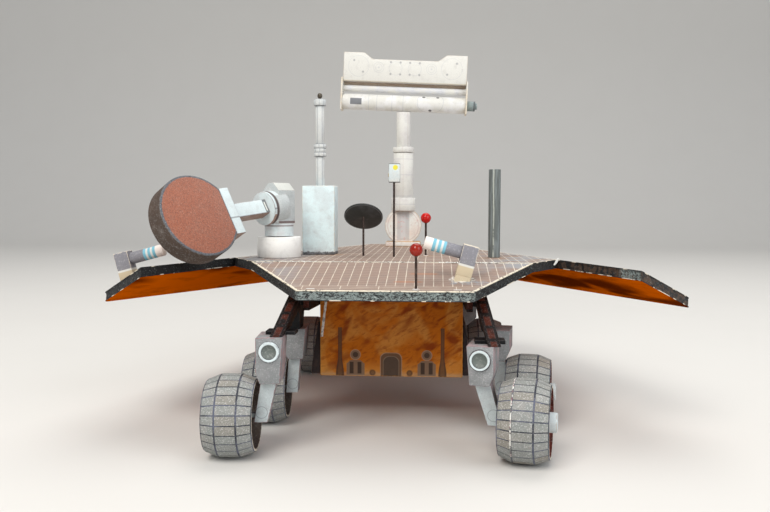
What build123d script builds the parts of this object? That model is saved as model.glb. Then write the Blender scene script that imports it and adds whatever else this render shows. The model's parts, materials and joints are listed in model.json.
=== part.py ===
from build123d import *
from math import cos, hypot, radians, sin, tan
import os

# A six-wheeled planetary rover built as a one-tenth card and foam-board model, in millimetres.
# +Z is up, +Y is the way it drives, towards the mast, and the origin lies on the floor below the middle.
# "Ahead" is a distance forward of the fold between the deck and the rear panel.
# "Half" is a distance from the centre.

# Deck and panels, cut from foam board
fold_y = -42.15
deck_top = 59.0
board = 3.3
fold_half = 50.3
deck_wide_half = 61.4
deck_wide_ahead = 18.1
deck_front_half = 16.8
deck_front_ahead = 123.8
rear_panel_half = 27.8
rear_panel_length = 35.5
rear_droop = 10.5
wing_droop = 21.0
wing_rear_inner = (-48.8, 0.6)
wing_rear_outer = (-37.0, 32.3)
wing_front_outer = (110.2, 44.2)
wing_corner_r = 4.0

# Body box under the deck
box_half = 25.9
box_rear_ahead = 3.0
box_front_ahead = 92.0
box_bottom = 17.0
box_rake = 13.0

# Wheels: barrels of folded card, with a middle band and a sloping band at each side
wheel_r = 13.0
wheel_rim_r = 11.3
wheel_facets = 26
mid_band = 6.6
side_band = 4.5
wheel_skin = 0.8
web = 0.8
web_inset = 1.8
hub_r = 3.1
hub_out = 3.6
hub_in = 3.0
axle_r = 1.0
axle_gap = 0.05

# One row a wheel: axle, side, hand, ahead, distance from the centre, degrees its outer face turns rearward,
# how far its leg's housing reaches inward of the wheel's middle, and the height of that housing's top.
# The front pair stands a set distance outside the box.
wheels = [
    ("rear", "left", -1, -37.0, 48.0, 4.0, 16.6, 38.3),
    ("rear", "right", 1, -37.0, 44.0, 12.0, 17.9, 36.2),
    ("middle", "left", -1, 2.0, 45.3, 3.0, 14.6, 35.0),
    ("middle", "right", 1, 2.0, 49.5, 10.0, 14.6, 35.0),
    ("front", "left", -1, 88.0, box_half + 17.1, 0.0, 16.4, 37.5),
    ("front", "right", 1, 88.0, box_half + 13.1, 0.0, 12.4, 37.5),
]

# Legs: a bracket that slants out into the wheel under a housing, measured inward from the wheel's middle
leg_deep = 5.0
leg_wide = 5.0
leg_foot = (7.2, 11.4)
leg_drop = 1.8
leg_setback = 2.2
leg_spread = 0.6
rim_clear = 0.4
housing_wide = 8.4
housing_face = 5.0
housing_back = 8.0
housing_bottom = 24.0
housing_cut = 3.6
housing_slant = 1.0
ring_r = 3.1
ring_high = 0.7
ring_down = 4.3

# Suspension arms: on each side a flat rocker beside the box, and outside it a bogie that splays outward
rocker_gap = 0.4
rocker_thick = 2.0
bogie_thick = 4.0
bogie_splay = 14.0
arm_gap = 0.3
arm_lap = 1.8
arm_deep = 6.0
bogie_ahead = -16.0
bogie_crown = 8.4
bogie_z = 50.0
rocker_ahead = 38.0
rocker_z = 47.0
pivot_r = 3.2
cap_wide = 9.5
cap_deep = 5.5
cap_thick = 1.2
cap_from_centre = 33.0
sides = [("left", -1), ("right", 1)]

# Dark wedge-shaped side panels low on the box
side_panel_rear = 4.0
side_panel_front = 72.0
side_panel_bottom = 17.5
side_panel_top = 36.5
side_panel_wide = (3.7, 1.0)

# Mast and camera head
mast_ahead = 108.0
foot_plate = (17.0, 12.0, 2.2)
foot_r = 8.9
foot_thick = 4.0
foot_sunk = 1.2
collar_over_disc = 7.4
collar_r = 5.9
collar_high = 6.4
lower_tube_r = 4.9
lower_tube_high = 21.8
ring_band_r = 5.15
ring_band_high = 2.6
upper_tube_r = 3.45
upper_tube_high = 17.0
pan_gap = 0.3
tilt_gap = 0.3
head_lean = 2.6
head_half = 30.0
head_tube_r = 3.9
head_bar_gap = 2.6
head_bar_high = 10.8
head_bar_ear = 3.0
head_bar_ear_long = 10.0
head_bar_ear_slope = 4.0
head_bar_thick = 6.0
half_round_r = 1.6
half_round_gap = 1.0
flange_thick = 0.8
flange_border = 0.4
flange_lap = 1.6
head_motor_r = 2.4
head_motor_long = 4.0
head_shaft_r = 1.5
head_shaft_long = 0.9

# Dish antenna and its gimbal, standing a little inside the deck's left corner
dish_from_corner = 16.8
dish_axis_ahead = 22.0
base_r = 8.4
base_high = 8.0
neck_r = 5.5
neck_high = 4.9
dish_turn = 55.9
dish_dip = 6.4
dish_roll = 26.0
dish_reach = 41.0
dish_r = 15.2
dish_deep = 8.0
dish_flat = 12.6
block_wide = 8.6
block_high = 15.5
block_roof_high = 2.9
block_ridge = 2.6
joint_high = 6.5
joint_disc_r = 6.4
joint_disc_thick = 1.7
joint_disc_gap = 0.4
joint_gap = 0.3
arm_square = 5.5
plate_thick = 4.3
plate_long = 18.0
plate_deep = 7.0

# Deck fittings
low_gain_place = (-31.5, 42.0)
low_gain_box = (13.2, 11.0, 28.0)
low_gain_bands = [(1.8, 12.0), (2.6, 5.0), (1.8, 15.5), (2.5, 2.6), (1.0, 2.6)]
whip_place = (38.6, 27.5)
whip_r = 2.35
whip_high = 34.0

# Round-headed pins pushed through the deck, and what they carry: ahead places are from the fold
pin_r = 0.45
pin_into = 1.0
ball_r = 2.1
far_ball_place = (12.0, 35.2)
far_ball_over = 15.0
near_ball_place = (9.8, -32.8)
near_ball_over = 12.4
mirror_place = (-12.8, 32.4)
mirror_over = 15.4
mirror_r = 7.7
mirror_thick = 0.8
mirror_tip = 49.0
sensor_place = (-0.4, 28.4)
sensor_over = 29.0
sensor_box = (4.7, 3.0, 7.4)

# Small posts with a striped barrel: a leaning card block on a panel, with a rolled tube out of its upper part
post_wide = 5.2
post_deep = 5.0
post_long = 11.5
post_lift = 1.3
post_lean = 15.0
post_on_panel = (24.6, -21.3)
post_on_wing = (-33.0, 22.0)
barrel_r = 2.15
barrel_long = 12.5
barrel_down = 3.0

os.makedirs("parts", exist_ok=True)


def ahead(distance):
    """Y of a place given forward of the fold."""
    return fold_y + distance


def save(builder, name):
    builder.part.label = name
    export_step(builder.part, f"parts/{name}.step")


# Deck: one flat board, widest a little ahead of the fold
deck_outline = [
    (-fold_half, ahead(0)), (fold_half, ahead(0)),
    (deck_wide_half, ahead(deck_wide_ahead)), (deck_front_half, ahead(deck_front_ahead)),
    (-deck_front_half, ahead(deck_front_ahead)), (-deck_wide_half, ahead(deck_wide_ahead)),
]
with BuildPart() as deck:
    with BuildSketch(Plane.XY.offset(deck_top)):
        Polygon(*deck_outline, align=None)
    extrude(amount=-board)
save(deck, "deck")

# Rear panel: hinged down from the fold, its sides cut upright so that it meets the deck flat
panel_plane = Plane(
    origin=(0, ahead(0), deck_top),
    x_dir=(-1, 0, 0),
    z_dir=(0, -sin(radians(rear_droop)), cos(radians(rear_droop))),
)
with BuildPart() as rear_panel:
    with BuildSketch(panel_plane):
        Polygon(
            (-fold_half, 0), (fold_half, 0),
            (rear_panel_half, rear_panel_length), (-rear_panel_half, rear_panel_length),
            align=None,
        )
    extrude(amount=board, dir=(0, 0, -1))
save(rear_panel, "rear_panel")

# Wings: each hinged down along the deck's slanting side, measured along and outward from its wide corner
side_run = (deck_front_half - deck_wide_half, deck_front_ahead - deck_wide_ahead)
side_long = hypot(*side_run)
along = Vector(side_run[0] / side_long, side_run[1] / side_long, 0)
outward = Vector(along.Y, -along.X, 0) * cos(radians(wing_droop)) + Vector(0, 0, -sin(radians(wing_droop)))
wing_plane = Plane(
    origin=(deck_wide_half, ahead(deck_wide_ahead), deck_top),
    x_dir=along,
    z_dir=along.cross(outward),
)
with BuildPart() as right_wing:
    with BuildSketch(wing_plane) as wing_sketch:
        Polygon(
            (0, 0), wing_rear_inner, wing_rear_outer, wing_front_outer, (side_long, 0),
            align=None,
        )
        fillet(wing_sketch.vertices().sort_by(Axis.Y)[-2:], wing_corner_r)
    extrude(amount=board, dir=(0, 0, -1))
save(right_wing, "right_wing")
with BuildPart() as left_wing:
    mirror(right_wing.part, about=Plane.YZ)
save(left_wing, "left_wing")

# Body box: a folded card box with its front raked up under the deck
box_top = deck_top - board
with BuildPart() as body_box:
    with BuildSketch(Plane.YZ.offset(-box_half)):
        Polygon(
            (ahead(box_rear_ahead), box_bottom), (ahead(box_front_ahead - box_rake), box_bottom),
            (ahead(box_front_ahead), box_bottom + box_rake), (ahead(box_front_ahead), box_top),
            (ahead(box_rear_ahead), box_top),
            align=None,
        )
    extrude(amount=2 * box_half)
save(body_box, "body_box")

# Wheels, turned about their own axles; a web and a hub close the outer side, and the inner side is open
barrel_half = mid_band / 2 + side_band
wheel_z = wheel_r
band_slope = (wheel_r - wheel_rim_r) / side_band


def band_radius(offset_out):
    """Outer radius of the barrel at a distance from its middle."""
    return wheel_r - max(0, abs(offset_out) - mid_band / 2) * band_slope


bands = [(-barrel_half, -mid_band / 2), (-mid_band / 2, mid_band / 2), (mid_band / 2, barrel_half)]
web_in = barrel_half - web_inset - web
web_out = barrel_half - web_inset
rocker_x = box_half + rocker_gap
bogie_x = rocker_x + rocker_thick + arm_gap
splay = radians(bogie_splay)


def bogie_outer(height):
    """How far from the centre the bogie's outer face lies at a height."""
    return bogie_x + bogie_thick + (bogie_z - height) * tan(splay)


for axle, side, hand, axle_ahead, track, toe, reach, top in wheels:
    outward_axis = (hand * cos(radians(toe)), -sin(radians(toe)), 0)
    wheel_plane = Plane(
        origin=(hand * track, ahead(axle_ahead), wheel_z),
        x_dir=(sin(radians(toe)), hand * cos(radians(toe)), 0),
        z_dir=outward_axis,
    )
    with BuildPart() as wheel:
        for skin, mode, stretches in (
            (0, Mode.ADD, bands),
            (wheel_skin, Mode.SUBTRACT, bands),
            (wheel_skin / 2, Mode.ADD, [(web_in, web_out)]),
        ):
            for low, high in stretches:
                for end in (low, high):
                    with BuildSketch(wheel_plane.offset(end)):
                        RegularPolygon(band_radius(end) - skin, wheel_facets, major_radius=False)
                loft(ruled=True, mode=mode)
        with BuildSketch(wheel_plane.offset(web_in - hub_in)):
            Circle(hub_r)
        extrude(amount=hub_in + web + hub_out)
        with BuildSketch(wheel_plane.offset(web_in - hub_in)):
            Circle(axle_r + axle_gap)
        extrude(amount=hub_in, mode=Mode.SUBTRACT)
    save(wheel, f"{axle}_{side}_wheel")

    # Leg: a slanting bracket that reaches into the wheel, under a housing that has a boss at a corner wheel
    forward = (hand * sin(radians(toe)), cos(radians(toe)), 0)
    leg_plane = Plane(
        origin=(hand * track, ahead(axle_ahead), 0),
        x_dir=(-outward_axis[0], -outward_axis[1], 0),
        z_dir=(hand * forward[0], hand * forward[1], 0),
    )
    arm_outer = rocker_x + rocker_thick if axle == "front" else bogie_outer(top)
    reach = max(reach, track - arm_outer + arm_lap)
    shoulder_inner = max(reach - leg_setback, leg_foot[1] + leg_spread)
    shoulder_outer = max(shoulder_inner - leg_wide, barrel_half + rim_clear)
    facing = hand if axle == "front" else -hand
    with BuildPart() as leg:
        with BuildSketch(leg_plane):
            Polygon(
                (leg_foot[0], wheel_z - leg_drop), (leg_foot[1], wheel_z - leg_drop),
                (shoulder_inner, housing_bottom), (shoulder_outer, housing_bottom),
                align=None,
            )
        extrude(amount=leg_deep / 2, both=True)
        with BuildSketch(leg_plane.offset(facing * housing_face)):
            Polygon(
                (shoulder_outer, housing_bottom), (reach - housing_slant, housing_bottom), (reach, top),
                (reach - housing_wide, top), (reach - housing_wide, housing_bottom + housing_cut),
                align=None,
            )
        extrude(amount=-facing * (housing_face + housing_back))
        if axle != "middle":
            with BuildSketch(leg_plane.offset(facing * housing_face)):
                with Locations((reach - housing_wide / 2, top - ring_down)):
                    Circle(ring_r)
            extrude(amount=facing * ring_high)
        with BuildSketch(wheel_plane.offset(-leg_foot[1] + axle_r)):
            Circle(axle_r)
        extrude(amount=leg_foot[1] - axle_r + web_in - axle_gap)
    save(leg, f"{axle}_{side}_leg")

# Suspension: on each side a bogie over the rear and middle legs, and a rocker from it to the front leg
for side, hand in sides:
    tops = {row[0]: row[7] for row in wheels if row[1] == side}
    places = {row[0]: row[3] for row in wheels if row[1] == side}
    bogie_plane = Plane(
        origin=(hand * bogie_x, 0, bogie_z),
        x_dir=(0, 1, 0),
        z_dir=(cos(splay), 0, hand * sin(splay)),
    )
    bogie_outline = [
        (places["rear"] - leg_deep / 2, tops["rear"]),
        (places["rear"] + housing_back, tops["rear"]),
        (bogie_ahead, bogie_z - arm_deep),
        (places["middle"] - housing_face, tops["middle"]),
        (places["middle"] + leg_deep / 2, tops["middle"]),
        (bogie_ahead + bogie_crown / 2, bogie_z), (bogie_ahead - bogie_crown / 2, bogie_z),
    ]
    with BuildPart() as bogie:
        with BuildSketch(bogie_plane):
            Polygon(
                *[(ahead(place), (high - bogie_z) / cos(splay)) for place, high in bogie_outline],
                align=None,
            )
        extrude(amount=bogie_thick, dir=(hand, 0, 0))
        with BuildSketch(Plane.YZ.offset(hand * (rocker_x + rocker_thick))):
            with Locations((ahead(bogie_ahead), bogie_z - arm_deep / 2)):
                Circle(pivot_r / 2)
        extrude(amount=hand * (arm_gap + bogie_thick / 2))
        with BuildSketch(Plane.XY.offset(tops["rear"])):
            cap_ahead = places["rear"] + housing_back - cap_deep / 2
            with Locations((hand * cap_from_centre, ahead(cap_ahead))):
                Rectangle(cap_wide, cap_deep)
        extrude(amount=cap_thick)
    save(bogie, f"{side}_bogie")
    with BuildPart() as rocker:
        with BuildSketch(Plane.YZ.offset(hand * rocker_x)):
            Polygon(
                (ahead(bogie_ahead - arm_deep / 2), bogie_z - arm_deep),
                (ahead(rocker_ahead), rocker_z - arm_deep),
                (ahead(places["front"] - housing_back), tops["front"]),
                (ahead(places["front"] + housing_face), tops["front"]),
                (ahead(rocker_ahead), rocker_z), (ahead(bogie_ahead - arm_deep / 2), bogie_z),
                align=None,
            )
        extrude(amount=hand * rocker_thick)
        with BuildSketch(Plane.YZ.offset(hand * rocker_x)):
            with Locations((ahead(rocker_ahead), rocker_z - arm_deep / 2)):
                Circle(pivot_r)
        extrude(amount=-hand * rocker_gap)
    save(rocker, f"{side}_rocker")
    with BuildPart() as side_panel:
        panel_end = Plane(origin=(0, ahead(side_panel_front), 0), x_dir=(hand, 0, 0), z_dir=(0, -hand, 0))
        with BuildSketch(panel_end):
            Polygon(
                (box_half, side_panel_bottom), (box_half + side_panel_wide[0], side_panel_bottom),
                (box_half + side_panel_wide[1], side_panel_top), (box_half, side_panel_top),
                align=None,
            )
        extrude(amount=side_panel_front - side_panel_rear, dir=(0, -1, 0))
    save(side_panel, f"{side}_side_panel")

# Mast: a foot disc standing in a small plate, then a collar and a lower tube under the turning upper tube
mast_y = ahead(mast_ahead)
foot_z = deck_top + foot_plate[2]
disc_z = foot_z + foot_r - foot_sunk
collar_z = disc_z + collar_over_disc
with BuildPart() as mast_foot:
    with BuildSketch(Plane.XY.offset(deck_top)):
        with Locations((0, mast_y)):
            Rectangle(foot_plate[0], foot_plate[1])
    extrude(amount=foot_plate[2])
    with BuildSketch(Plane(origin=(0, mast_y, disc_z), x_dir=(1, 0, 0), z_dir=(0, -1, 0))):
        Circle(foot_r)
        with Locations((0, -foot_r)):
            Rectangle(2 * foot_r, foot_sunk, align=(Align.CENTER, Align.MIN), mode=Mode.SUBTRACT)
        with Locations((0, collar_over_disc)):
            Rectangle(2 * foot_r, foot_r, align=(Align.CENTER, Align.MIN), mode=Mode.SUBTRACT)
    extrude(amount=foot_thick / 2, both=True)
save(mast_foot, "mast_foot")
with BuildPart() as mast_lower:
    with BuildSketch(Plane.XY.offset(collar_z)):
        with Locations((0, mast_y)):
            Circle(collar_r)
    extrude(amount=collar_high)
    with BuildSketch(Plane.XY.offset(collar_z + collar_high)):
        with Locations((0, mast_y)):
            Circle(lower_tube_r)
    extrude(amount=lower_tube_high)
save(mast_lower, "mast_lower_tube")
pan_z = collar_z + collar_high + lower_tube_high
with BuildPart() as mast_upper:
    with BuildSketch(Plane.XY.offset(pan_z + pan_gap)):
        with Locations((0, mast_y)):
            Circle(ring_band_r)
    extrude(amount=ring_band_high)
    with BuildSketch(Plane.XY.offset(pan_z + pan_gap + ring_band_high)):
        with Locations((0, mast_y)):
            Circle(upper_tube_r)
    extrude(amount=upper_tube_high)
save(mast_upper, "mast_upper_tube")

# Camera head, leaning a little to the right
tilt_z = pan_z + pan_gap + ring_band_high + upper_tube_high + tilt_gap + head_tube_r
lean = radians(head_lean)
head_x = Vector(cos(lean), 0, -sin(lean))
head_up = Vector(sin(lean), 0, cos(lean))
head_origin = Vector(0, mast_y, tilt_z)
head_side = Plane(origin=head_origin - head_x * head_half, x_dir=(0, 1, 0), z_dir=head_x)
head_face = Plane(origin=head_origin + Vector(0, head_bar_thick / 2, 0), x_dir=-head_x, z_dir=(0, 1, 0))
with BuildPart() as head_tube:
    with BuildSketch(head_side):
        Circle(head_tube_r)
    extrude(amount=2 * head_half)
save(head_tube, "head_tube")
bar_low = head_tube_r + head_bar_gap + 2 * half_round_r
bar_high = bar_low + head_bar_high
ear_high = bar_high + head_bar_ear
ear_inner = head_half - head_bar_ear_long
with BuildPart() as head_bar:
    with BuildSketch(Plane(origin=head_face.origin, x_dir=head_x, z_dir=(0, -1, 0))):
        Polygon(
            (-head_half, bar_low), (head_half, bar_low), (head_half, ear_high),
            (ear_inner, ear_high), (ear_inner - head_bar_ear_slope, bar_high),
            (head_bar_ear_slope - ear_inner, bar_high), (-ear_inner, ear_high), (-head_half, ear_high),
            align=None,
        )
    extrude(amount=head_bar_thick)
save(head_bar, "camera_bar")
plate_low = -head_tube_r - flange_border
plate_high = bar_low + flange_lap
with BuildPart() as head_ends:
    for end in (-1, 1):
        plate_origin = head_origin + head_x * (end * (head_half + flange_thick / 2))
        with BuildSketch(Plane(origin=plate_origin, x_dir=(0, 1, 0), z_dir=head_x)):
            with Locations((0, (plate_low + plate_high) / 2)):
                Rectangle(2 * (head_tube_r + flange_border), plate_high - plate_low)
        extrude(amount=flange_thick / 2, both=True)
save(head_ends, "head_end_plates")
motor_foot = head_origin + head_x * (head_half + flange_thick)
with BuildPart() as head_motor:
    with BuildSketch(Plane(origin=motor_foot, x_dir=(0, 1, 0), z_dir=head_x)):
        Circle(head_motor_r)
    extrude(amount=head_motor_long)
    with BuildSketch(Plane(origin=motor_foot + head_x * head_motor_long, x_dir=(0, 1, 0), z_dir=head_x)):
        Circle(head_shaft_r)
    extrude(amount=head_shaft_long)
save(head_motor, "head_motor")

# Dish antenna: a turning neck and block, a tilting joint, an arm and a drum with one side cut flat
turn = radians(dish_turn)
dip = radians(dish_dip)
dish_x = dish_from_corner - deck_wide_half
dish_y = ahead(dish_axis_ahead)
block_z = deck_top + base_high + neck_high + joint_gap
to_gimbal = Vector(cos(turn) * cos(dip), sin(turn) * cos(dip), sin(dip))
block_centre = Vector(dish_x, dish_y, block_z + joint_high)
dish_up0 = Vector(-sin(dip) * cos(turn), -sin(dip) * sin(turn), cos(dip))
dish_side0 = to_gimbal.cross(dish_up0)
roll = radians(dish_roll)
chord_dir = dish_up0 * cos(roll) - dish_side0 * sin(roll)
face_dir = to_gimbal.cross(chord_dir)
with BuildPart() as dish_base:
    with BuildSketch(Plane.XY.offset(deck_top)):
        with Locations((dish_x, dish_y)):
            Circle(base_r)
    extrude(amount=base_high)
save(dish_base, "dish_base")
block_ahead = Vector(cos(turn), sin(turn), 0)
with BuildPart() as dish_block:
    with BuildSketch(Plane.XY.offset(deck_top + base_high + joint_gap)):
        with Locations((dish_x, dish_y)):
            Circle(neck_r)
    extrude(amount=neck_high)
    with BuildSketch(Plane(origin=(dish_x, dish_y, block_z), x_dir=block_ahead.cross(Vector(0, 0, 1)),
                           z_dir=-block_ahead)):
        Polygon(
            (-block_wide / 2, 0), (block_wide / 2, 0), (block_wide / 2, block_high - block_roof_high),
            (block_ridge / 2, block_high), (-block_ridge / 2, block_high),
            (-block_wide / 2, block_high - block_roof_high),
            align=None,
        )
    extrude(amount=block_wide / 2, both=True)
    with BuildSketch(Plane(origin=block_centre, x_dir=chord_dir, z_dir=-to_gimbal)):
        Circle(joint_disc_r)
    extrude(amount=block_wide / 2 + joint_disc_gap + joint_disc_thick)
save(dish_block, "dish_turret")
joint_start = block_wide / 2 + joint_disc_gap + joint_disc_thick + joint_gap
arm_plane = Plane(origin=block_centre - to_gimbal * joint_start, x_dir=chord_dir, z_dir=-to_gimbal)
with BuildPart() as dish_arm:
    with BuildSketch(arm_plane):
        Circle(joint_disc_r)
    extrude(amount=joint_disc_thick)
    with BuildSketch(arm_plane):
        Rectangle(arm_square, arm_square)
    extrude(amount=dish_reach - dish_flat - plate_thick - joint_start)
    with BuildSketch(Plane(origin=block_centre - to_gimbal * (dish_reach - dish_flat - plate_thick),
                           x_dir=chord_dir, z_dir=-to_gimbal)):
        Rectangle(plate_long, plate_deep)
    extrude(amount=plate_thick)
save(dish_arm, "dish_arm")
dish_centre = block_centre - to_gimbal * dish_reach
drum_back = Plane(origin=dish_centre - face_dir * (dish_deep / 2), x_dir=to_gimbal, z_dir=face_dir)
with BuildPart() as dish_drum:
    with BuildSketch(drum_back):
        Circle(dish_r)
        with Locations((dish_flat, 0)):
            Rectangle(dish_r, 2 * dish_r, align=(Align.MIN, Align.CENTER), mode=Mode.SUBTRACT)
    extrude(amount=dish_deep)
save(dish_drum, "dish_drum")

# Low-gain antenna: a tall box with a thin stepped tube on it
with BuildPart() as low_gain:
    with BuildSketch(Plane.XY.offset(deck_top)):
        with Locations((low_gain_place[0], ahead(low_gain_place[1]))):
            Rectangle(low_gain_box[0], low_gain_box[1])
    extrude(amount=low_gain_box[2])
save(low_gain, "low_gain_box")
with BuildPart() as low_gain_mast:
    level = deck_top + low_gain_box[2]
    for radius, high in low_gain_bands:
        with BuildSketch(Plane.XY.offset(level)):
            with Locations((low_gain_place[0], ahead(low_gain_place[1]))):
                Circle(radius)
        extrude(amount=high)
        level += high
save(low_gain_mast, "low_gain_mast")

# Whip antenna: one plain tube
with BuildPart() as whip:
    with BuildSketch(Plane.XY.offset(deck_top)):
        with Locations((whip_place[0], ahead(whip_place[1]))):
            Circle(whip_r)
    extrude(amount=whip_high)
save(whip, "whip_antenna")


def rod(start, end, radius):
    """A round rod from one point to another."""
    with BuildPart() as bar:
        with BuildSketch(Plane(origin=start, z_dir=end - start)):
            Circle(radius)
        extrude(amount=(end - start).length)
    return bar.part


def panel_height(distance_behind):
    """Height of the rear panel's top, given the distance behind the fold."""
    return deck_top - distance_behind * tan(radians(rear_droop))


# Red ball-headed pins: one on the deck and one on the rear panel
pin_rows = [
    ("deck_ball_pin", far_ball_place, deck_top, far_ball_over),
    ("panel_ball_pin", near_ball_place, panel_height(-near_ball_place[1]), near_ball_over),
]
for name, place, floor, over in pin_rows:
    foot = Vector(place[0], ahead(place[1]), floor + pin_r * tan(radians(rear_droop)))
    stem = rod(foot, foot + Vector(0, 0, over), pin_r)
    with BuildPart() as ball_pin:
        add(stem)
        with Locations((foot.X, foot.Y, floor + over)):
            Sphere(ball_r)
    save(ball_pin, name)

# Black calibration disc, tipped back on its pin
disc_normal = Vector(0, sin(radians(90 - mirror_tip)), cos(radians(90 - mirror_tip)))
disc_centre = Vector(mirror_place[0], ahead(mirror_place[1]), deck_top + mirror_over)
mirror_stem = rod(
    Vector(disc_centre.X, disc_centre.Y, deck_top), disc_centre + Vector(0, 0, mirror_thick / 2), pin_r
)
with BuildPart() as mirror_disc:
    add(mirror_stem)
    with BuildSketch(Plane(origin=disc_centre, x_dir=(1, 0, 0), z_dir=disc_normal)):
        Circle(mirror_r)
    extrude(amount=mirror_thick)
save(mirror_disc, "disc_on_pin")

# Small sensor box on its pin
sensor_foot = Vector(sensor_place[0], ahead(sensor_place[1]), deck_top)
sensor_stem = rod(sensor_foot, sensor_foot + Vector(0, 0, sensor_over + pin_into), pin_r)
with BuildPart() as sensor:
    add(sensor_stem)
    with BuildSketch(Plane.XY.offset(deck_top + sensor_over)):
        with Locations((sensor_foot.X, sensor_foot.Y)):
            Rectangle(sensor_box[0], sensor_box[1])
    extrude(amount=sensor_box[2])
save(sensor, "sensor_on_pin")

# Posts with a striped barrel, one on the rear panel and one on the left wing
wing_out = Vector(-outward.X, outward.Y, outward.Z)
wing_back = Vector(-along.X, along.Y, 0)
wing_foot = (
    Vector(-deck_wide_half, ahead(deck_wide_ahead), deck_top)
    + wing_back * post_on_wing[0] + wing_out * post_on_wing[1]
)
post_rows = [
    ("panel", Vector(post_on_panel[0], ahead(post_on_panel[1]), panel_height(-post_on_panel[1])), 1),
    ("wing", wing_foot, -1),
]
for name, foot, hand in post_rows:
    up = Vector(hand * sin(radians(post_lean)), 0, cos(radians(post_lean)))
    side_way = Vector(hand * cos(radians(post_lean)), 0, -sin(radians(post_lean)))
    with BuildPart() as post:
        with BuildSketch(Plane(origin=foot + up * post_lift, x_dir=side_way, z_dir=up)):
            Rectangle(post_wide, post_deep)
        extrude(amount=post_long - post_lift)
    save(post, f"{name}_post")
    start = foot + up * (post_long - barrel_down) - side_way * (post_wide / 2)
    tube = rod(start, start - side_way * barrel_long, barrel_r)
    with BuildPart() as barrel:
        add(tube)
    save(barrel, f"{name}_post_barrel")

# Half-round bar between the head's tube and the camera bar
half_round_foot = head_origin - head_x * head_half + head_up * (head_tube_r + half_round_gap + half_round_r)
with BuildPart() as half_round:
    with BuildSketch(Plane(origin=half_round_foot, x_dir=(0, 1, 0), z_dir=head_x)):
        Circle(half_round_r)
    extrude(amount=2 * head_half)
save(half_round, "head_cross_bar")
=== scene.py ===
"""Dresses a one-tenth card and foam-board model of a planetary rover, piece by piece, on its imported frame."""

import json
import math

import bmesh
import bpy
from bpy.props import FloatProperty, FloatVectorProperty, IntProperty, PointerProperty
from mathutils import Matrix, Vector, noise

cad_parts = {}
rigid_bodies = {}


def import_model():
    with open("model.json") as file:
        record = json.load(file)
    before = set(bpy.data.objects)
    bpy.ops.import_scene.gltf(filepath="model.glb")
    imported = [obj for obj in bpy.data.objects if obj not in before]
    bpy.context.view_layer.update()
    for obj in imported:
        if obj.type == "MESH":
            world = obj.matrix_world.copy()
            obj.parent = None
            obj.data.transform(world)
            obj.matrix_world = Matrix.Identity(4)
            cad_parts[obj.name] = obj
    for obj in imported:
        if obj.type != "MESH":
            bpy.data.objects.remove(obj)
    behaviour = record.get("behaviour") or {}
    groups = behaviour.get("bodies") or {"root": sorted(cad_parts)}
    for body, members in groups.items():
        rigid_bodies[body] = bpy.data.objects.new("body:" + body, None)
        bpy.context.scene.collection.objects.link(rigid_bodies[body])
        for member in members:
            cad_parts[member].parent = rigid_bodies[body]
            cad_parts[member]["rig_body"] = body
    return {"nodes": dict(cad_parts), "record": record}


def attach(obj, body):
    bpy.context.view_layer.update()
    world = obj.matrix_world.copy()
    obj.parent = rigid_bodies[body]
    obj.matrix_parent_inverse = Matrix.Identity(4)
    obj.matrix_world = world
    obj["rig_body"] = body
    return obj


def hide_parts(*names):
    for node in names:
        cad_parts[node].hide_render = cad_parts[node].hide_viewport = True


bl_info = {
    "name": "Card rover dressing",
    "version": (1, 0, 0),
    "blender": (4, 5, 0),
    "location": "View3D > Sidebar > Rover",
    "description": "Gives each piece of a card model rover its print, folds and wear",
    "category": "Object",
}

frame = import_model()
nodes = frame["nodes"]

MM = 0.001
UP = Vector((0, 0, 1))

# Places of the model's own parts, in millimetres, as the frame has them
FOLD_Y = -42.15
DECK_TOP = 59.0
BOARD = 3.3
WHEEL_RADIUS = 13.0
RIM_RADIUS = 11.3
MIDDLE_BAND = 6.6
SIDE_BAND = 4.5
FACETS = 26
MAST_Y = FOLD_Y + 108.0
TILT_Z = 128.6
HEAD_LEAN = math.radians(2.6)
HEAD_X = Vector((math.cos(HEAD_LEAN), 0, -math.sin(HEAD_LEAN)))
HEAD_UP = Vector((math.sin(HEAD_LEAN), 0, math.cos(HEAD_LEAN)))
HEAD_ORIGIN = Vector((0, MAST_Y, TILT_Z))
GIMBAL = Vector((-44.6, FOLD_Y + 22.0, 78.7))
DISH_TURN = math.radians(55.9)
DISH_DIP = math.radians(6.4)
DISH_ROLL = math.radians(26.0)
DISH_REACH = 41.0
DISH_SIDE = Vector((math.cos(DISH_TURN), math.sin(DISH_TURN), 0))
TO_GIMBAL = DISH_SIDE * math.cos(DISH_DIP) + UP * math.sin(DISH_DIP)
ARM_UP = UP * math.cos(DISH_DIP) - DISH_SIDE * math.sin(DISH_DIP)
POST_LEAN = math.radians(15.0)
PANEL_LONG = 35.5
PANEL_DROOP = math.radians(10.5)
PIN_RADIUS = 0.42
LOW_GAIN = Vector((-31.5, FOLD_Y + 42.0, DECK_TOP))
WHIP = Vector((38.6, FOLD_Y + 27.5, DECK_TOP))

# Axle, side, hand, place along Y, distance from the centre, toe in degrees
WHEELS = [
    ("rear", "left", -1, FOLD_Y - 37.0, 48.0, 4.0),
    ("rear", "right", 1, FOLD_Y - 37.0, 44.0, 12.0),
    ("middle", "left", -1, FOLD_Y + 2.0, 45.3, 3.0),
    ("middle", "right", 1, FOLD_Y + 2.0, 49.5, 10.0),
    ("front", "left", -1, FOLD_Y + 88.0, 43.0, 0.0),
    ("front", "right", 1, FOLD_Y + 88.0, 39.0, 0.0),
]


def paint(name, description, red, green, blue):
    """A colour property from screen values of 0 to 255, kept as linear light."""
    linear = [
        ((c / 255 + 0.055) / 1.055) ** 2.4 if c > 10 else c / 255 / 12.92 for c in (red, green, blue)
    ]
    return FloatVectorProperty(
        name=name, description=description, default=linear, subtype="COLOR", size=3, min=0, max=1
    )


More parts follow.
